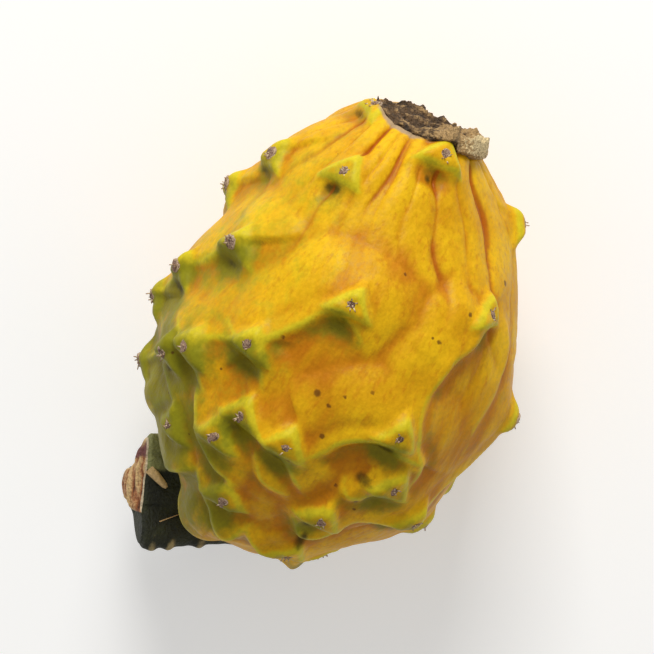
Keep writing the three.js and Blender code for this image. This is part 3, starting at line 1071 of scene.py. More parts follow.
class Tree:
    """A node tree with short calls for the nodes that the finishes use."""

    def __init__(self, tree: bpy.types.NodeTree) -> None:
        """Takes the tree that the nodes go into."""
        self.tree = tree

    def node(
        self, kind: str, inputs: dict[str | int, object] | None = None, **settings: object
    ) -> bpy.types.Node:
        """Adds a node.

        Args:
            kind: the node's Blender type.
            inputs: what each named or numbered input is set to, or the output that it is linked to.
            settings: the node's own properties.

        Returns:
            The node.
        """
        made = self.tree.nodes.new(kind)
        for key, value in settings.items():
            setattr(made, key, value)
        for key, value in (inputs or {}).items():
            self.feed(made.inputs[key], value)
        return made

    def feed(self, socket: bpy.types.NodeSocket, value: object) -> None:
        """Links an output to the socket, or sets the socket to a plain value or colour.

        Args:
            socket: the input socket.
            value: the output, number or colour that it takes.
        """
        if isinstance(value, bpy.types.NodeSocket):
            self.tree.links.new(value, socket)
        elif isinstance(value, tuple) and len(value) == 3 and socket.type == "RGBA":
            socket.default_value = (*value, 1.0)
        else:
            socket.default_value = value

    def maths(self, operation: str, *values: object) -> bpy.types.NodeSocket:
        """One step of arithmetic on numbers."""
        made = self.node("ShaderNodeMath", dict(enumerate(values)), operation=operation)
        return made.outputs[0]

    def swing(self, value: object, amount: float) -> bpy.types.NodeSocket:
        """A value between 0 and 1 as a swing to either side of 0, times an amount."""
        return self.maths("MULTIPLY", self.maths("SUBTRACT", value, 0.5), amount)

    def span(self, value: object, low: float, high: float) -> bpy.types.NodeSocket:
        """A smooth rise from 0 to 1 as a value goes from low to high.

        Args:
            value: the value.
            low: where the rise starts.
            high: where it ends.

        Returns:
            The risen value.
        """
        inputs = {"Value": value, "From Min": low, "From Max": high}
        made = self.node("ShaderNodeMapRange", inputs, interpolation_type="SMOOTHSTEP")
        return made.outputs["Result"]

    def mix(
        self, factor: object, first: object, second: object, blend: str = "MIX"
    ) -> bpy.types.NodeSocket:
        """Two colours blended by a factor.

        Args:
            factor: the share of the second colour.
            first: the first colour.
            second: the second colour.
            blend: Blender's name of the way that they blend.

        Returns:
            The blend.
        """
        made = self.node("ShaderNodeMix", data_type="RGBA", blend_type=blend)
        self.feed(made.inputs[0], factor)
        self.feed(made.inputs[6], first)
        self.feed(made.inputs[7], second)
        return made.outputs[2]

    def value(self, name: str) -> bpy.types.NodeSocket:
        """One of the mesh's own named values."""
        return self.node("ShaderNodeAttribute", attribute_name=name).outputs["Fac"]

    def place(self, scale: Sequence[float] = (1, 1, 1)) -> bpy.types.NodeSocket:
        """The point's place on the piece.

        Args:
            scale: what its x, y and z are multiplied by.

        Returns:
            The place.
        """
        coordinates = self.node("ShaderNodeTexCoord").outputs["Object"]
        mapping = self.node("ShaderNodeMapping", {"Vector": coordinates, "Scale": tuple(scale)})
        return mapping.outputs["Vector"]

    def noise(
        self, vector: object, size: float, detail: float = 3.0, rough: float = 0.5
    ) -> bpy.types.NodeSocket:
        """Soft noise whose spots are about as wide as the size, in metres."""
        inputs = {"Vector": vector, "Scale": 1 / size, "Detail": detail, "Roughness": rough}
        return self.node("ShaderNodeTexNoise", inputs).outputs["Fac"]

    def effect(self, effect: Effect, inputs: dict[str, object]) -> bpy.types.Node:
        """Places a shared effect.

        Args:
            effect: which one.
            inputs: the values that it takes here.

        Returns:
            Its node.
        """
        made = self.tree.nodes.new("ShaderNodeGroup")
        made.node_tree = EFFECTS[effect]
        for key, value in inputs.items():
            self.feed(made.inputs[key], value)
        return made

    def mottle(
        self, place: object, cloud_size: float, grain_size: float
    ) -> tuple[bpy.types.NodeSocket, bpy.types.NodeSocket]:
        """An uneven tone at two sizes.

        Args:
            place: the point's place.
            cloud_size: how wide its clouds are, in metres.
            grain_size: how wide its grain is, in metres.

        Returns:
            The clouds and the grain.
        """
        inputs = {"Place": place, "Cloud size": cloud_size, "Grain size": grain_size}
        made = self.effect(Effect.MOTTLE, inputs)
        return made.outputs["Clouds"], made.outputs["Grain"]

    def over(self, base: object, layer: Layer, uneven: object) -> bpy.types.NodeSocket:
        """The base with a layer over it, whose edge an uneven number shifts."""
        mask = self.span(self.maths("ADD", self.value(layer.name), uneven), layer.low, layer.high)
        return self.mix(self.maths("MULTIPLY", mask, layer.most), base, layer.colour)

    def grained(
        self, base: object, grain: object, strength: float, dark: float, light: float
    ) -> bpy.types.NodeSocket:
        """The base darkened and lightened by a grain: multiplied by greys from dark to light."""
        greys = self.mix(grain, (dark, dark, dark), (light, light, light))
        return self.mix(strength, base, greys, "MULTIPLY")

    def dent(self, shader: bpy.types.Node, height: object, strength: float, depth: float) -> None:
        """Dents a shader by a height, with the strength of a bump and its depth in metres."""
        bump = self.node("ShaderNodeBump", {"Strength": strength, "Distance": depth, "Height": height})
        self.feed(shader.inputs["Normal"], bump.outputs["Normal"])


class Effect(Enum):
    """The shared effects, each a node group that is built once."""

    SPECKS = "specks"
    MOTTLE = "mottle"


def new_group(
    effect: Effect, inputs: dict[str, float], outputs: Sequence[str]
) -> tuple[Tree, bpy.types.Node, bpy.types.Node]:
    """An empty shader group with a place input, named numbers and named outputs.

    Args:
        effect: which effect it is for.
        inputs: the numbers that it takes, with their usual values.
        outputs: the numbers that it gives.

    Returns:
        Its tree, its input node and its output node.
    """
    group = bpy.data.node_groups.new(effect.value, "ShaderNodeTree")
    sockets = group.interface
    sockets.new_socket("Place", in_out="INPUT", socket_type="NodeSocketVector")
    for name, usual in inputs.items():
        made = sockets.new_socket(name, in_out="INPUT", socket_type="NodeSocketFloat")
        made.default_value = usual
    for name in outputs:
        sockets.new_socket(name, in_out="OUTPUT", socket_type="NodeSocketFloat")
    tree = Tree(group)
    return tree, tree.node("NodeGroupInput"), tree.node("NodeGroupOutput")


def specks_group() -> bpy.types.NodeTree:
    """Scattered round specks: spots about the points of a random lattice, of which only some show.

    Returns:
        A group that takes a place, the spacing, the specks' radius and the share that shows, and
        gives a mask of the specks.
    """
    usual = {"Spacing": 0.004, "Radius": 0.2, "Share": 0.4}
    tree, given, result = new_group(Effect.SPECKS, usual, ["Mask"])
    scale = tree.maths("DIVIDE", 1.0, given.outputs["Spacing"])
    cells = tree.node("ShaderNodeTexVoronoi", {"Vector": given.outputs["Place"], "Scale": scale})
    chance = tree.node("ShaderNodeSeparateColor", {"Color": cells.outputs["Color"]})
    shows = tree.maths("LESS_THAN", chance.outputs[0], given.outputs["Share"])
    size = tree.maths("MULTIPLY", given.outputs["Radius"], tree.maths("ADD", 0.4, chance.outputs[1]))
    spot = tree.maths("DIVIDE", cells.outputs["Distance"], size)
    tree.feed(result.inputs["Mask"], tree.maths("MULTIPLY", shows, tree.span(spot, 1.0, 0.35)))
    return tree.tree


def mottle_group() -> bpy.types.NodeTree:
    """Uneven tone at two scales: broad soft clouds and fine grain.

    Returns:
        A group that takes a place and the two sizes, and gives the clouds and the grain.
    """
    usual = {"Cloud size": 0.012, "Grain size": 0.0008}
    tree, given, result = new_group(Effect.MOTTLE, usual, ["Clouds", "Grain"])
    for output, size, detail in (("Clouds", "Cloud size", 4.0), ("Grain", "Grain size", 2.0)):
        scale = tree.maths("DIVIDE", 1.0, given.outputs[size])
        inputs = {"Vector": given.outputs["Place"], "Scale": scale, "Detail": detail, "Roughness": 0.55}
        noise = tree.node("ShaderNodeTexNoise", inputs).outputs["Fac"]
        tree.feed(result.inputs[output], tree.span(noise, 0.3, 0.7))
    return tree.tree


EFFECTS = {Effect.SPECKS: specks_group(), Effect.MOTTLE: mottle_group()}


def new_material(name: str, rough: float) -> tuple[bpy.types.Material, Tree, bpy.types.Node]:
    """An empty material.

    Args:
        name: its name.
        rough: its roughness.

    Returns:
        The material, its tree and its Principled shader.
    """
    material = bpy.data.materials.new(name)
    material.use_nodes = True
    shader = material.node_tree.nodes["Principled BSDF"]
    shader.inputs["Roughness"].default_value = rough
    return material, Tree(material.node_tree), shader


# ---------- Finishes ----------


@dataclass(frozen=True)
class SkinFinish:
    """Golden skin: amber in streaks and in its valleys, where it is partly painted shade, green at its tips
    and scoops, painted shade in the hollows, the creases and under the crests, with brown specks.
    """

    yellow: Colour = srgb(214, 156, 8)
    pale_yellow: Colour = srgb(234, 184, 16)
    amber: Colour = srgb(190, 112, 8)
    brown: Colour = srgb(92, 50, 14)
    layers: tuple[Layer, ...] = (
        Layer("lime", 0.1, 0.9, srgb(212, 196, 34), most=0.85),
        # Green: the skin's own round the pits and on the flank, and painted shade under the crests.
        Layer("green", 0.15, 0.9, srgb(122, 122, 20), most=0.85),
        # Deep: dark olive in the hollows, darkened as painted shade.
        Layer("deep", 0.35, 1.0, srgb(66, 56, 8), most=0.85),
        # A darker orange, painted shade between the pleats.
        Layer("crease", 0.3, 1.1, srgb(168, 78, 8), most=0.75),
    )
    dry: Layer = Layer("dry", 0.3, 0.8, srgb(176, 148, 112))
    cloud_size: float = 0.011
    grain_size: float = 0.0009
    blotch_size: float = 0.0035
    streak_size: float = 0.0013
    speck_spacing: float = 0.0042
    pore_size: float = 0.0007
    wrinkle_size: float = 0.0016
    roughness: tuple[float, float] = (0.4, 0.56)
    specular: float = 0.14

    def material(self) -> bpy.types.Material:
        """Builds the material from the skin's own named values and layered noise.

        Returns:
            The material.
        """
        material, tree, shader = new_material("dragon fruit skin", self.roughness[0])
        place = tree.place()
        clouds, grain = tree.mottle(place, self.cloud_size, self.grain_size)
        base = self.golden(tree, clouds)
        uneven = tree.swing(tree.noise(place, self.blotch_size, 4.0, 0.6), 1.1)
        for layer in self.layers:
            base = tree.over(base, layer, uneven)
        inputs = {"Place": place, "Spacing": self.speck_spacing, "Radius": 0.09, "Share": 0.2}
        specks = tree.effect(Effect.SPECKS, inputs).outputs["Mask"]
        dark = tree.maths("MAXIMUM", specks, tree.span(tree.value("spot"), 0.35, 0.75))
        base = tree.mix(tree.maths("MULTIPLY", dark, 0.8), base, self.brown)
        base = tree.over(base, self.dry, uneven)
        tree.feed(shader.inputs["Base Color"], tree.grained(base, grain, 0.35, 0.75, 1.15))
        smooth, rough = self.roughness
        uneven_gloss = tree.maths("ADD", smooth, tree.maths("MULTIPLY", grain, rough - smooth))
        tree.feed(shader.inputs["Roughness"], uneven_gloss)
        pores = tree.noise(place, self.pore_size, 2.0)
        wrinkles = tree.noise(tree.place((0.3, 1, 1)), self.wrinkle_size, 3.0, 0.6)
        tree.dent(shader, tree.maths("ADD", pores, tree.maths("MULTIPLY", wrinkles, 2.0)), 0.35, 0.0002)
        shader.inputs["Specular IOR Level"].default_value = self.specular
        return material

    def golden(self, tree: Tree, clouds: object) -> bpy.types.NodeSocket:
        """The yellow ground, with amber in streaks along the body, and in the valleys, where it is partly
        painted shade.

        Args:
            tree: the material's tree.
            clouds: the clouds that make the yellow paler.

        Returns:
            The colour.
        """
        base = tree.mix(clouds, self.yellow, self.pale_yellow)
        broad = tree.noise(tree.place((0.25, 1, 1)), self.blotch_size, 4.0, 0.6)
        # The valleys' amber is partly painted shade; the broad noise adds amber of the skin's own.
        amber = tree.maths("ADD", tree.value("valley"), tree.swing(broad, 1.2))
        base = tree.mix(tree.maths("MULTIPLY", tree.span(amber, 0.2, 1.0), 0.85), base, self.amber)
        fine = tree.noise(tree.place((0.35, 1, 1)), self.streak_size, 4.0, 0.65)
        return tree.mix(tree.maths("MULTIPLY", tree.span(fine, 0.5, 0.72), 0.5), base, self.amber)


@dataclass(frozen=True)
class FeltFinish:
    """Grey-pink felt, with darker brown in clouds as painted shade of its folds, and paler round its
    margin.
    """

    felt: Colour = srgb(164, 130, 108)
    pale: Colour = srgb(212, 186, 154)
    dark: Colour = srgb(92, 62, 50)
    cloud_size: float = 0.0012
    grain_size: float = 0.0003

    def material(self) -> bpy.types.Material:
        """Builds the material: "margin" marks the paler edge.

        Returns:
            The material.
        """
        material, tree, shader = new_material("areole felt", 0.95)
        clouds, grain = tree.mottle(tree.place(), self.cloud_size, self.grain_size)
        # Painted shade: darker brown in random clouds, for the shade in the felt's folds.
        base = tree.mix(clouds, self.dark, self.felt)
        pale = tree.span(tree.maths("ADD", grain, tree.value("margin")), 0.3, 1.5)
        base = tree.mix(tree.maths("MULTIPLY", pale, 0.8), base, self.pale)
        tree.feed(shader.inputs["Base Color"], base)
        tree.dent(shader, grain, 0.8, 0.0002)
        return material


@dataclass(frozen=True)
class SpineFinish:
    """Broken spine stubs: pale at the foot and light brown at the tip."""

    foot: Colour = srgb(222, 202, 166)
    tip: Colour = srgb(150, 112, 84)

    def material(self) -> bpy.types.Material:
        """Builds the material: "along" goes from the foot to the tip.

        Returns:
            The material.
        """
        material, tree, shader = new_material("spine stubs", 0.6)
        blend = tree.span(tree.value("along"), 0.2, 0.9)
        tree.feed(shader.inputs["Base Color"], tree.mix(blend, self.foot, self.tip))
        return material


@dataclass(frozen=True)
class DriedFinish:
    """Dried flower tissue: dark and crumbly, tan and spongy on the flap, with painted light that makes the
    tops of the crumbs paler and the hollows between them darker.
    """

    black: Colour = srgb(56, 42, 26)
    brown: Colour = srgb(138, 104, 66)
    # Tan on the flap, and paler on the tops of the crumbs as painted light.
    tan: Layer = Layer("bare", 0.3, 0.8, srgb(186, 150, 98))
    cream: Layer = Layer("cream", 0.45, 0.9, srgb(228, 204, 152))
    cloud_size: float = 0.0022
    grain_size: float = 0.0005

    def material(self) -> bpy.types.Material:
        """Builds the material: "bare" goes from dark tissue to tan, on the flap and as painted light on the
        tops of the crumbs, "cream" to the pale edges.

        Returns:
            The material.
        """
        material, tree, shader = new_material("dried flower", 0.9)
        clouds, grain = tree.mottle(tree.place(), self.cloud_size, self.grain_size)
        base = tree.mix(tree.maths("MULTIPLY", clouds, 0.8), self.black, self.brown)
        base = tree.over(base, self.tan, tree.swing(clouds, 0.7))
        base = tree.over(base, self.cream, tree.swing(grain, 0.5))
        tree.feed(shader.inputs["Base Color"], tree.grained(base, grain, 0.5, 0.6, 1.2))
        tree.dent(shader, tree.maths("ADD", grain, tree.maths("MULTIPLY", clouds, 2.0)), 0.9, 0.0004)
        return material


@dataclass(frozen=True)
class StemFinish:
    """Cactus stem: dark green skin with corky nubs, fibrous and tan where it is torn."""

    dark: Colour = srgb(26, 28, 10)
    green: Colour = srgb(56, 60, 22)
    # Painted light: the upper part of the stub is made a paler olive.
    painted_light_olive: Layer = Layer("shade", 0.3, 1.0, srgb(150, 150, 92))
    cork: Layer = Layer("cork", 0.3, 0.8, srgb(170, 150, 100))
    fibre: Colour = srgb(226, 188, 128)
    rust: Colour = srgb(168, 98, 48)
    dark_rust: Colour = srgb(70, 40, 20)
    purple: Layer = Layer("scar", 0.45, 0.8, srgb(124, 72, 66))
    cream: Layer = Layer("margin", 0.5, 1.0, srgb(228, 208, 172))
    cloud_size: float = 0.005
    grain_size: float = 0.0007
    fibre_size: float = 0.0012

    def material(self) -> bpy.types.Material:
        """Builds the material: "cut" marks the torn face with its "strand", "scar" and "margin".

        On the skin, the upper rib is made a paler olive, which is painted light, and "cork" marks the nubs.

        Returns:
            The material.
        """
        material, tree, shader = new_material("cactus stem", 0.7)
        place = tree.place()
        clouds, grain = tree.mottle(place, self.cloud_size, self.grain_size)
        uneven = tree.swing(clouds, 0.6)
        base = tree.mix(tree.maths("MULTIPLY", clouds, 0.6), self.dark, self.green)
        base = tree.over(base, self.painted_light_olive, uneven)
        base = tree.over(base, self.cork, uneven)
        fibres = tree.noise(place, self.fibre_size, 3.0, 0.7)
        strand = tree.maths("ADD", tree.value("strand"), tree.swing(fibres, 0.8))
        cut = tree.mix(tree.span(strand, -0.5, 0.0), self.dark_rust, self.rust)
        cut = tree.mix(tree.span(strand, -0.15, 0.35), cut, self.fibre)
        cut = tree.over(cut, self.purple, uneven)
        cut = tree.over(cut, self.cream, uneven)
        base = tree.mix(tree.span(tree.value("cut"), 0.35, 0.65), base, cut)
        tree.feed(shader.inputs["Base Color"], tree.grained(base, grain, 0.5, 0.65, 1.2))
        tree.dent(shader, tree.maths("ADD", grain, tree.maths("MULTIPLY", fibres, 2.0)), 0.6, 0.0004)
        return material


# ---------- The skin ----------

# Patches that ripened to amber: depth, angle and radius.
AMBER_PLACES = ((22, 8, 8.0), (47, 0, 8.0), (50, 60, 10.0), (68, 10, 5.0))
# Hollows away from the tips' own, darkened to olive as painted shade: depth, angle and radius.
SHADED_HOLLOW_PLACES = ((80, 27, 1.7), (77, 24, 1.2), (5, 13, 1.2), (60, 26, 1.8))
# Single brown specks of the skin: depth, angle and radius.
SPOT_PLACES = (
    (48, -2, 0.9),
    (49, 3, 0.6),
    (46, 6, 0.5),
    (43, 13, 0.5),
    (65, 29, 0.6),
    (67, 31, 0.5),
    (64, 20, 0.5),
    (55, 6, 0.7),
    (30, 28, 0.6),
    (24, 38, 0.6),
    (21, 10, 0.5),
    (18, 66, 0.8),
    (42, -20, 0.5),
)


@dataclass(frozen=True)
class FruitSkin:
    """The whole skin as one closed surface: the crater at the flower end, its rim, and the body."""

    along: int = 240
    around: int = 402
    crater_depth: float = 3.6
    crater_shares: tuple[float, ...] = (0.2, 0.35, 0.55, 0.7, 0.82, 0.9)
    lip_shares: tuple[float, ...] = (0.955, 0.985)
    lip_depths: tuple[float, ...] = (0.5, 0.12)
    # The window and the amounts of the amber in the valleys, which is partly painted shade.
    valley_width: int = 9
    valley_ground: float = 0.24
    cavity_shade_gain: float = 0.9
    green_way: tuple[float, float, float] = (0.2, -0.77, -0.6)
    green_from: tuple[float, float] = (46.0, 68.0)
    blotch_size: float = 5.0
    haze_at: tuple[float, float] = (32.0, -0.9)
    haze_reach: tuple[float, float] = (30.0, 0.6)
    ripe_down_to: tuple[float, float] = (20.0, 50.0)
    plate_lime: float = 0.22
    rim_lime: float = 0.8
    edge_lime: float = 0.85
    flank_lime: float = 0.4
    haze_lime: float = 0.4
    halo_green: float = 0.85
    # Painted shade under the crests, in green.
    painted_shade_green: float = 0.4
    haze_green: float = 0.25
    # Painted shade under the crests, in amber.
    painted_shade_amber: float = 0.3
    patch_amber: float = 0.4
    dry_side: float = -0.5
    dry_reach: tuple[float, float] = (0.7, 0.7)

    def polars(self) -> np.ndarray:
        """Polar angles an equal distance apart along the egg's outline.

        Returns:
            The angles, from the rim to one step short of the stem's pole.
        """
        fine = np.linspace(EGG.polar_at(0), math.pi, 4000)
        line = EGG.point(fine, np.zeros_like(fine))
        runs = np.concatenate([[0], np.cumsum(np.linalg.norm(np.diff(line, axis=0), axis=-1))])
        return np.interp(np.linspace(0, runs[-1], self.along + 1)[:-1], runs, fine)

    def local_mean(self, values: np.ndarray) -> np.ndarray:
        """The mean over a square window about each point, which wraps round the body.

        Args:
            values: a grid of values.

        Returns:
            The grid of means.
        """
        half = self.valley_width
        padded = np.pad(values, ((half, half), (0, 0)), mode="edge")
        total = sum(padded[i : i + len(values)] for i in range(2 * half + 1)) / (2 * half + 1)
        return sum(np.roll(total, i, axis=1) for i in range(-half, half + 1)) / (2 * half + 1)

    def bowl(self, share: float) -> float:
        """The crater's depth at a share of the way out to the rim: an ellipse."""
        return self.crater_depth * math.sqrt(1 - share**2)

    def surface(self) -> Surface:
        """The skin's surface with the values that colour it.

        Returns:
            The surface: the crater from its middle out, then the skin from the rim to the stem end.
        """
        polar, around = np.meshgrid(self.polars(), angles_round(self.around), indexing="ij")
        points, out, relief = SKIN.relief(polar.ravel(), around.ravel())
        lifted = relief.lift + SKIN.wrinkles(points)
        skin = (points + out * lifted[:, None]).reshape(*polar.shape, 3)
        rim = skin[0]
        middle = rim.mean(axis=0)
        shares = [*self.crater_shares, *self.lip_shares]
        depths = [*map(self.bowl, self.crater_shares), *self.lip_depths]
        down = np.array([0, 0, -1.0])
        rings = [middle + share * (rim - middle) + depth * down for share, depth in zip(shares, depths)]
        crater = np.stack(rings)
        pole = SKIN.skin_point(np.array([math.pi]), np.zeros(1))[0]
        made = closed_tube(np.concatenate([crater, skin]), middle + self.crater_depth * down, pole)
        made.values = self.colouring(polar, around, relief, lifted, len(shares))
        return made

    def colouring(
        self, polar: np.ndarray, around: np.ndarray, relief: Relief, lifted: np.ndarray, inside: int
    ) -> dict[str, np.ndarray]:
        """The values that the skin's finish reads.

        Args:
            polar: the grid's polar angles.
            around: its angles round the axis.
            relief: the relief on it.
            lifted: how far the skin stands from the egg there.
            inside: how many rings the crater has.

        Returns:
            "valley" where the skin lies lower than round about, which is painted shade, with the patches
            that ripened to amber and the painted shade under the crests; "lime" on the tips and along the
            crests;
            "green" round the pits and on the flank, with painted shade under the crests; "deep", dark olive
            darkened as painted shade in the hollows; "crease", painted shade between the pleats; "spot" in
            the specks and "dry" at the rim.
        """
        shape = polar.shape
        points = EGG.point(polar, around)
        depth = EGG.depth_at(polar)
        height = lifted.reshape(shape)
        # Painted shade: amber where the skin lies lower than round about.
        valley = np.clip(self.valley_ground + self.cavity_shade_gain * (self.local_mean(height) - height), 0, 1)
        plate, rim = relief.plate.reshape(shape), relief.rim.reshape(shape)
        edge, under = relief.edge.reshape(shape), relief.under.reshape(shape)
        pit_olive_and_shade, halo = relief.pit_olive_and_shade.reshape(shape), relief.halo.reshape(shape)
        unripe = smooth_step(depth, *self.ripe_down_to)
        flank = smooth_step(points @ unit(np.array(self.green_way)), *self.green_from)
        blotch = np.clip(0.7 + 0.9 * SKIN_GRAIN.at(points + 60, self.blotch_size), 0.2, 1.1)
        haze = bell(depth - self.haze_at[0], self.haze_reach[0])
        haze = haze * bell(wrap(around - self.haze_at[1]), self.haze_reach[1])
        # Amber: painted shade under the crests, and the patches that ripened to amber.
        amber = self.painted_shade_amber * under + self.patch_amber * self.patches(AMBER_PLACES, points)
        lime = self.plate_lime * plate + self.rim_lime * rim
        lime = lime + self.edge_lime * edge * (0.4 + 0.6 * unripe)
        lime = lime + self.flank_lime * flank + self.haze_lime * haze
        # Green round the pits, with painted shade under the crests; the flank's green and the haze are the
        # skin's own.
        green = (self.halo_green * halo + self.painted_shade_green * under) * (0.5 + 0.5 * unripe)
        green = green + flank * (0.7 + 0.6 * blotch) * (1 - 0.5 * edge) + self.haze_green * haze
        dry = bell(depth, self.dry_reach[0]) * bell(wrap(around - self.dry_side), self.dry_reach[1])
        grids = {
            "valley": np.clip(valley + amber, 0, 1),
            "lime": lime,
            "green": green,
            # Dark olive, darkened as painted shade, in the scoops and in the hollows listed above.
            "deep": np.maximum(pit_olive_and_shade * blotch, self.patches(SHADED_HOLLOW_PLACES, points)),
            "crease": relief.crease.reshape(shape),
            "spot": self.patches(SPOT_PLACES, points),
            "dry": dry,
        }
        crater = np.zeros((inside, shape[1]))
        made = {name: ring_values(np.concatenate([crater, grid])) for name, grid in grids.items()}
        made["dry"][: 1 + crater.size] = 1
        return made

    def patches(self, places: Iterable[tuple[float, float, float]], points: np.ndarray) -> np.ndarray:
        """How much some points lie in round patches: the highest of a bell curve about each.

        Args:
            places: each patch's depth, angle and radius.
            points: the egg's points.

        Returns:
            One value for each point.
        """
        total = np.zeros(points.shape[:-1])
        for depth, degrees, radius in places:
            centre = EGG.point(EGG.polar_at(depth), np.radians(degrees))
            total = np.maximum(total, bell(np.linalg.norm(points - centre, axis=-1), radius))
        return total

    def build(self) -> bpy.types.Object:
        """Makes the piece that stands for the fruit."""
        materials = [SkinFinish().material()]
        return add_piece("fruit_skin", [self.surface()], materials, ["fruit"])


# ---------- Areoles ----------


@dataclass(frozen=True)
class Areole:
    """A felt pad with the stubs of its spines, sunk into the dish in a bump's plate."""

    across: float = 1.4
    along: float = 1.6
    thick: float = 0.62
    back: float = 0.4
    sunk: float = 0.42
    probe: float = 1.0
    lumpy: float = 0.24
    margin: tuple[float, float] = (0.6, 0.95)
    rings: int = 12
    points_round: int = 22
    spines: tuple[int, int] = (4, 6)
    spine_length: tuple[float, float] = (0.6, 1.1)
    spine_radius: float = 0.17
    spine_spread: tuple[float, float] = (0.5, 0.6)
    spine_foot: float = 0.4
    spine_lean: tuple[float, float, float] = (1.2, 0.9, 0.7)
    spine_stray: float = 0.35
    seed: int = 5

    def axes(self, bump: Bump) -> tuple[np.ndarray, np.ndarray]:
        """Where a pad sits.

        Args:
            bump: the bump that carries it.

        Returns:
            Its middle, and its directions across, to the flower end and out as columns.
        """
        middle = max(bump.depth + self.back, 0.3)
        turn = self.probe / max(EGG.radius_at(EGG.polar_at(bump.depth)), 1)
        depths = np.array([middle, middle - self.probe, middle + self.probe, middle, middle])
        turns = bump.angle + turn * np.array([0, 0, 0, 1, -1])
        at = SKIN.skin_point(EGG.polar_at(depths), turns)
        to_flower = unit(at[1] - at[2])
        across = unit(at[3] - at[4])
        out = unit(np.cross(across, to_flower))
        return at[0] - self.sunk * out, np.stack([across, np.cross(out, across), out], axis=-1)

    def surfaces(self, bump: Bump, rng: np.random.Generator) -> list[Surface]:
        """The pad and its spine stubs.

        The pad is a flat lumpy ball. A stub is a thin rod that leans outwards, more so near the edge.

        Args:
            bump: the bump that carries them.
            rng: where the random draws come from.

        Returns:
            The surfaces.
        """
        centre, axes = self.axes(bump)
        polar = np.linspace(0, math.pi, self.rings + 2)[1:-1, None]
        turn = angles_round(self.points_round)[None]
        wide = np.sin(polar)
        parts = [wide * np.cos(turn), wide * np.sin(turn), np.cos(polar)]
        ball = np.stack(np.broadcast_arrays(*parts), axis=-1)
        lumps = 1 + self.lumpy * FELT_GRAIN.layered(ball * 2.0 + bump.point * 3, 1.0, 3)
        shaped = ball * lumps[..., None] * np.array([self.across, self.along, self.thick])
        pad = closed_tube(centre + shaped @ axes.T)
        margin = smooth_step(wide + 0 * turn, *self.margin) * (lumps > 0.97)
        pad.values["margin"] = ring_values(margin)
        made = [pad]
        aside, ahead = self.spine_spread
        for _ in range(rng.integers(*self.spines, endpoint=True)):
            x, y = rng.uniform(-aside, aside) * self.across, rng.uniform(-ahead, ahead) * self.along
            foot = np.array([x, y, self.spine_foot])
            way = np.array([x, y, 1]) * self.spine_lean
            lean = unit(way + rng.normal(0, self.spine_stray, 3))
            tip = foot + rng.uniform(*self.spine_length) * lean
            made.append(rod(centre + axes @ foot, centre + axes @ tip, self.spine_radius, finish=1))
        return made

    def build(self) -> None:
        """Makes one piece for each areole."""
        rng = np.random.default_rng(self.seed)
        materials = [FeltFinish().material(), SpineFinish().material()]
        for number, bump in enumerate(PADDED, start=1):
            name = f"areole_{number:02d}"
            add_piece(f"{name}_felt", self.surfaces(bump, rng), materials, [name])


FELT_GRAIN = Grain(seed=23)


# ---------- What is left of the flower ----------


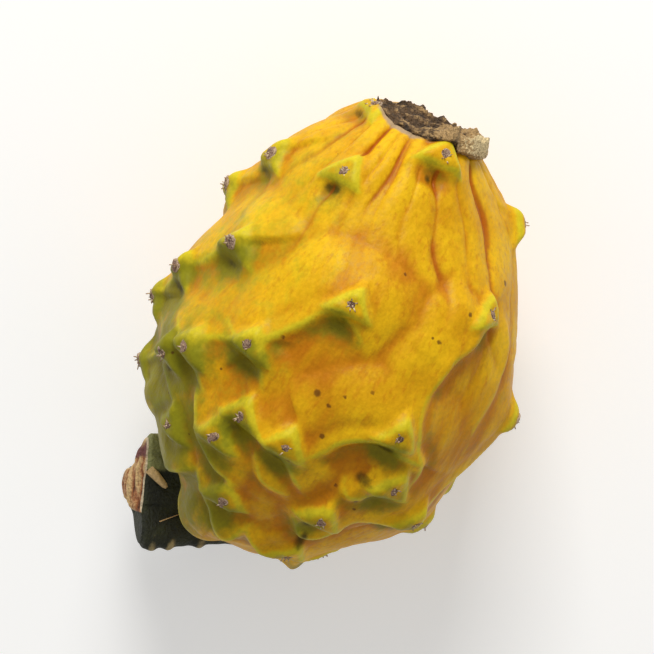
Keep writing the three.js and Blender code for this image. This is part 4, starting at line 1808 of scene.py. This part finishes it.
@dataclass(frozen=True)
class FlowerRemnant:
    """The plug of dried flower in the crater, with a curled spongy flap along one side."""

    level: float = -0.15
    lowest: float = -0.55
    lowest_from: tuple[float, float] = (0.6, 0.95)
    hollow: float = 2.2
    clear: float = 0.42
    narrower: float = 0.97
    crumb: float = 1.8
    crumb_size: float = 2.4
    grit_size: float = 1.2
    flap_height: float = 4.4
    flap_middle: float = 70.0
    flap_half: float = 64.0
    flap_share: float = 0.84
    flap_thickness: float = 0.34
    flap_lean: float = 0.2
    flap_droop: float = 22.0
    under_shares: tuple[float, ...] = (0.87, 0.68, 0.35)
    top_shares: tuple[float, float] = (0.03, 0.97)
    rings: int = 90
    points_round: int = 240

    def top(
        self, share: np.ndarray, around: np.ndarray, rim: np.ndarray, middle: np.ndarray
    ) -> tuple[np.ndarray, np.ndarray, np.ndarray]:
        """The crumbly top: noise about a level, not below a shallow bowl, and the flap on one side.

        The flap is a bell curve round the crater times one across the rim. It leans out over the
        rim by a share of its own height and droops beyond its middle.

        Args:
            share: shares of the way from the crater's middle to its rim.
            around: angles round the crater.
            rim: the rim's points at those angles.
            middle: the rim's middle.

        Returns:
            The points, how much each belongs to the flap, and how high its crumbs stand.
        """
        beside = bell(wrap(around - math.radians(self.flap_middle)), math.radians(self.flap_half))
        flap = beside * bell(share - self.flap_share, self.flap_thickness)
        reach = (share + self.flap_lean * flap)[..., None]
        flat = middle + reach * (rim - middle)
        crumbs = DRIED_GRAIN.layered(flat, self.crumb_size, 4)
        crumbs = crumbs + 0.5 * np.abs(DRIED_GRAIN.layered(flat + 40, self.grit_size, 2))
        bowl = self.lowest * smooth_step(share, *self.lowest_from) - self.hollow * (1 - share)
        height = np.maximum(self.level + self.crumb * crumbs, bowl)
        droop = self.flap_droop * np.maximum(share - self.flap_share, 0)
        height = height + flap * (self.flap_height - droop)
        return flat + height[..., None] * np.array([0, 0, 1.0]), flap, crumbs

    def build(self, fruit: FruitSkin) -> bpy.types.Object:
        """Makes the piece.

        Args:
            fruit: the skin, which gives the crater's depth.

        Returns:
            The piece.
        """
        around = angles_round(self.points_round)
        rim = SKIN.skin_point(np.full(self.points_round, EGG.polar_at(0)), around)
        middle = rim.mean(axis=0)
        up = np.array([0, 0, 1.0])
        share = np.linspace(*self.top_shares, self.rings)[:, None] + 0 * around
        top, flap, crumbs = self.top(share, around[None] + 0 * share, rim, middle)
        shares = np.array(self.under_shares)
        depths = np.array([fruit.bowl(value) - self.clear for value in shares])
        under = middle + (shares * self.narrower)[:, None, None] * (rim - middle)
        under = under - depths[:, None, None] * up
        pole = middle - (fruit.crater_depth - self.clear) * up
        made = closed_tube(np.concatenate([top, under]), middle + self.level * up, pole)
        zeros = np.zeros((len(shares), self.points_round))
        # Tan on the flap, and painted light: paler on the crumbs' tops, darker between them.
        made.values["bare"] = ring_values(np.concatenate([1.2 * flap + 0.5 * crumbs + 0.12, zeros]))
        made.values["cream"] = ring_values(np.concatenate([flap**2 + 0.3 * crumbs * flap, zeros]))
        materials = [DriedFinish().material()]
        return add_piece("flower_remnant_detail", [made], materials, ["flower_remnant"])


DRIED_GRAIN = Grain(seed=37)


# ---------- The stub of stem ----------


@dataclass(frozen=True)
class StemStub:
    """A piece of three-ribbed cactus stem, torn across, with a peg of wood and a hair on it."""

    length: float = 27.0
    valley: float = 6.0
    rib: float = 6.8
    sharpness: float = 2.2
    waist: float = 0.04
    chamfer: float = 0.08
    chamfer_from: float = 0.94
    narrows: float = 0.14
    narrows_from: float = -0.3
    grooves: tuple[tuple[float, float], ...] = ((0.6, 1.5), (-0.85, 1.3))
    groove_width: float = 0.15
    nubs: tuple[float, ...] = (0.82, 0.55, 0.06)
    nub_height: float = 0.8
    nub_width: float = 0.16
    nub_length: float = 0.09
    grit: float = 0.35
    grit_size: float = 3.0
    dome: float = 1.3
    strand_height: float = 0.8
    strand_stretch: tuple[float, float] = (0.28, 1.1)
    torn_down_to: float = -4.6
    torn_blend: float = 0.8
    margin_from: tuple[float, float] = (0.86, 0.98)
    scar_height: float = 8.4
    scar_widths: tuple[float, float] = (2.8, 2.6)
    # Painted light: where the stub's upper part turns a paler olive.
    painted_light_from: tuple[float, float] = (2.5, 5.5)
    peg: tuple[tuple[float, float, float], ...] = ((0.95, 0.62, -0.9), (0.68, 0.12, 1.6))
    peg_radius: float = 1.1
    hair: tuple[tuple[float, float, float], ...] = ((0.74, -0.72, 0.0), (0.4, -0.6, 1.0))
    hair_radius: float = 0.13
    at: tuple[float, float, float] = (-15.4, -5.5, -94.4)
    axis: tuple[float, float, float] = (0.37, -0.88, -0.3)
    back: tuple[float, float, float] = (-0.97, 0.0, -0.24)
    rings: int = 120
    points_round: int = 220
    face_rings: int = 26

    def axes(self) -> tuple[np.ndarray, np.ndarray, np.ndarray]:
        """The stub's own directions.

        Returns:
            Unit vectors out of its torn face, to its back rib and up.
        """
        axis = unit(np.array(self.axis))
        across = unit(np.cross(axis, np.array(self.back)))
        return axis, np.cross(across, axis), -across

    def radius(self, share: np.ndarray, turn: np.ndarray) -> np.ndarray:
        """How far the stub's side stands from its middle line.

        Three ribs are a power of a cosine. The front valley has a groove on either side, by bell
        curves, the lower rib bears corky nubs, and the stub narrows a little to its hidden end.

        Args:
            share: shares of half the length, 1 at the torn face and -1 at the other end.
            turn: angles round the stub from the back rib.

        Returns:
            The radius.
        """
        ribbed = self.valley + self.rib * ((1 + np.cos(3 * turn)) / 2) ** self.sharpness
        for place, depth in self.grooves:
            ribbed = ribbed - depth * bell(wrap(turn + math.pi + place), self.groove_width)
        ends = smooth_step(np.abs(share), self.chamfer_from, 1.0)
        narrow = self.narrows * smooth_step(-share, self.narrows_from, 1.0)
        scaled = ribbed * (1 - self.waist * np.cos(math.pi * share) - self.chamfer * ends - narrow)
        return scaled + self.nub_height * self.nub(share, turn)

    def nub(self, share: np.ndarray, turn: np.ndarray) -> np.ndarray:
        """The corky nubs along the lower rib, a bell curve each."""
        rib = bell(wrap(turn - TURN / 3), self.nub_width)
        return rib * sum(bell(share - place, self.nub_length) for place in self.nubs)

    def point(self, share: np.ndarray, turn: np.ndarray, lift: float = 0.0) -> np.ndarray:
        """A point on the stub's side, or over it by a lift.

        Args:
            share: shares of half the length, 1 at the torn face and -1 at the other end.
            turn: angles round the stub from the back rib.
            lift: how far over the side it lies.

        Returns:
            The points, with x, y and z along the last axis.
        """
        axis, back, up = self.axes()
        share, turn = np.broadcast_arrays(share, turn)
        ray = back * np.cos(turn)[..., None] - up * np.sin(turn)[..., None]
        reach = self.radius(share, turn) + lift
        return np.array(self.at) + (share * self.length / 2)[..., None] * axis + reach[..., None] * ray

    def side(self, share: np.ndarray, turn: np.ndarray) -> np.ndarray:
        """The stub's side with its fine grit, which stands straight out of it.

        Args:
            share: shares of half the length.
            turn: angles round the stub from the back rib.

        Returns:
            The points by ring.
        """
        axis = self.axes()[0]
        side = self.point(share, turn)
        away = side - np.array(self.at)
        ray = unit(away - (away @ axis)[..., None] * axis)
        return side + self.grit * STEM_GRAIN.layered(side, self.grit_size, 4)[..., None] * ray

    def torn_face(
        self, inner: np.ndarray, turn: np.ndarray
    ) -> tuple[np.ndarray, np.ndarray, np.ndarray, np.ndarray]:
        """The torn end: a low dome of strands that run up it, with its lowest part cut flat.

        Args:
            inner: shares of the way from the face's middle to its edge.
            turn: angles round the stub from the back rib.

        Returns:
            The points, how high each lies, how much it is torn, and its strand's height.
        """
        axis, back, up = self.axes()
        at = np.array(self.at)
        centre = at + self.length / 2 * axis
        face = centre + inner[..., None] * (self.point(np.ones((1, 1)), turn) - centre)
        high, deep = (face - at) @ up, (face - at) @ back
        up_scale, deep_scale = self.strand_stretch
        flat = np.stack([up_scale * high, deep_scale * deep, 0 * high], axis=-1)
        strands = STEM_GRAIN.layered(flat, 1.0, 3)
        torn = smooth_step(high, self.torn_down_to - self.torn_blend, self.torn_down_to + self.torn_blend)
        ragged = self.strand_height * strands * smooth_step(1 - inner, 0, 0.15)
        lift = 0.1 + torn * (self.dome * (1 - inner**2) + ragged)
        return face + lift[..., None] * axis, high, torn, strands

    def twig(
        self, ends: tuple[tuple[float, float, float], ...], radius: float, strand: float
    ) -> Surface:
        """A rod by the stub's side.

        Args:
            ends: the share, the angle from the front valley and the lift of either end.
            radius: its radius.
            strand: how pale its wood is.

        Returns:
            The rod, coloured as torn wood.
        """
        places = [self.point(np.array(share), np.array(math.pi + turn), lift) for share, turn, lift in ends]
        made = rod(*places, radius)
        made.values = {"cut": np.ones(len(made.points)), "strand": np.full(len(made.points), strand)}
        return made

    def build(self) -> bpy.types.Object:
        """Makes the piece.

        Returns:
            The piece.
        """
        turn = angles_round(self.points_round)[None]
        near, far = np.linspace(1, self.chamfer_from, 8), np.linspace(-self.chamfer_from, -1, 4)
        share = np.concatenate([near, np.linspace(0.93, -0.93, self.rings), far])[:, None]
        body = self.side(share, turn)
        inner = np.linspace(0.06, 1, self.face_rings)[:-1, None]
        face, high, torn, strands = self.torn_face(inner, turn)
        axis, _, up = self.axes()
        at = np.array(self.at)
        far_pole = at - self.length / 2 * axis
        made = closed_tube(np.concatenate([face, body]), face[0].mean(axis=0), far_pole)
        body_high = (body - at) @ up
        edge = smooth_step(share, 0.985, 1.0) * smooth_step(body_high, self.torn_down_to, -3.0)
        scar = [bell(h - self.scar_height, wide) for h, wide in zip((high, body_high), self.scar_widths)]
        made.values = {
            "cut": self.rows(torn, edge),
            "strand": self.rows(strands, 0 * body_high),
            "scar": self.rows(*scar),
            "margin": self.rows(smooth_step(inner, *self.margin_from) + 0 * high, 1 + 0 * body_high),
            # Painted light: a paler olive on the stub's upper part.
            "shade": self.rows(0 * high, smooth_step(body_high, *self.painted_light_from)),
            "cork": self.rows(0 * high, np.minimum(self.nub(share, turn), 1)),
        }
        peg = self.twig(self.peg, self.peg_radius, 0.9)
        hair = self.twig(self.hair, self.hair_radius, 0.2)
        materials = [StemFinish().material()]
        return add_piece("stem_stub_detail", [made, peg, hair], materials, ["stem_stub"])

    def rows(self, face: np.ndarray, body: np.ndarray) -> np.ndarray:
        """One named value over the torn face's rings and the body's."""
        return ring_values(np.concatenate([face, np.broadcast_to(body, (len(body), self.points_round))]))


STEM_GRAIN = Grain(seed=41)


# ---------- The studio ----------


@dataclass(frozen=True)
class Studio:
    """A plain pale floor, soft light from above the flower end, and the camera."""

    floor_size: float = 6.0
    floor_colour: Colour = srgb(236, 235, 232)
    floor_glow: float = 0.3
    camera_right: tuple[float, float, float] = (-0.1137, 0.883, 0.456)
    camera_back: tuple[float, float, float] = (0.970, 0.0, 0.242)
    camera_aside: tuple[float, float] = (-21.5, 4.7)
    target_aside: tuple[float, float, float] = (-19.8, -39.7, -11.0)
    distance: float = 900.0
    frame_width: float = 131.5
    sensor: float = 36.0
    key_place: tuple[float, float, float] = (0.85, 0.38, 0.58)
    key_size: float = 0.45
    key_power: float = 9.0
    sky: float = 0.42

    def floor(self) -> bpy.types.Object:
        """The floor, which glows a little like a light table.

        Returns:
            The floor.
        """
        half = self.floor_size / 2
        mesh = bpy.data.meshes.new("floor")
        corners = [(-half, -half, 0), (half, -half, 0), (half, half, 0), (-half, half, 0)]
        mesh.from_pydata(corners, [], [(0, 1, 2, 3)])
        floor = bpy.data.objects.new("floor", mesh)
        bpy.context.scene.collection.objects.link(floor)
        material, _, shader = new_material("pale floor", 0.8)
        shader.inputs["Base Color"].default_value = (*self.floor_colour, 1)
        shader.inputs["Emission Color"].default_value = (1, 1, 1, 1)
        shader.inputs["Emission Strength"].default_value = self.floor_glow
        mesh.materials.append(material)
        return floor

    def camera(self) -> bpy.types.Object:
        """The camera, which looks down on the fruit from its flower end.

        Returns:
            The camera. It is turned from its own place towards the target.
        """
        back = unit(LYING.direction(self.camera_back))
        right = LYING.direction(self.camera_right)
        right = unit(right - right @ back * back)
        up = np.cross(back, right)
        rim = np.array(LYING.rim_at)
        eye = rim + self.camera_aside[0] * right + self.camera_aside[1] * up + self.distance * back
        target = rim + sum(amount * way for amount, way in zip(self.target_aside, (right, up, back)))
        look_back = unit(eye - target)
        look_right = unit(np.cross(up, look_back))
        look_up = np.cross(look_back, look_right)
        camera = bpy.data.cameras.new("camera")
        camera.sensor_width = self.sensor
        camera.lens = self.sensor * float(np.linalg.norm(eye - target)) / self.frame_width
        made = bpy.data.objects.new("camera", camera)
        turn = Matrix(np.stack([look_right, look_up, look_back], axis=-1).tolist()).to_4x4()
        made.matrix_world = Matrix.Translation(Vector(eye * MM)) @ turn
        bpy.context.scene.collection.objects.link(made)
        bpy.context.scene.camera = made
        return made

    def key_light(self) -> None:
        """One soft square light, which faces the fruit."""
        light = bpy.data.lights.new("key light", "AREA")
        light.size = self.key_size
        light.energy = self.key_power
        made = bpy.data.objects.new("key light", light)
        turn = Vector(self.key_place).to_track_quat("Z", "Y").to_matrix().to_4x4()
        made.matrix_world = Matrix.Translation(self.key_place) @ turn
        bpy.context.scene.collection.objects.link(made)

    def build(self) -> None:
        """Sets up the whole studio."""
        scene = bpy.context.scene
        world = bpy.data.worlds.new("studio")
        world.use_nodes = True
        sky = world.node_tree.nodes["Background"]
        sky.inputs["Color"].default_value = (1, 1, 1, 1)
        sky.inputs["Strength"].default_value = self.sky
        scene.world = world
        scene.view_settings.view_transform = "Standard"
        self.floor()
        self.camera()
        self.key_light()


def main() -> None:
    logging.basicConfig(level=logging.INFO, format="%(name)s: %(message)s")
    fruit = FruitSkin()
    fruit.build()
    Areole().build()
    FlowerRemnant().build(fruit)
    StemStub().build()
    Studio().build()


if __name__ == "__main__":
    main()
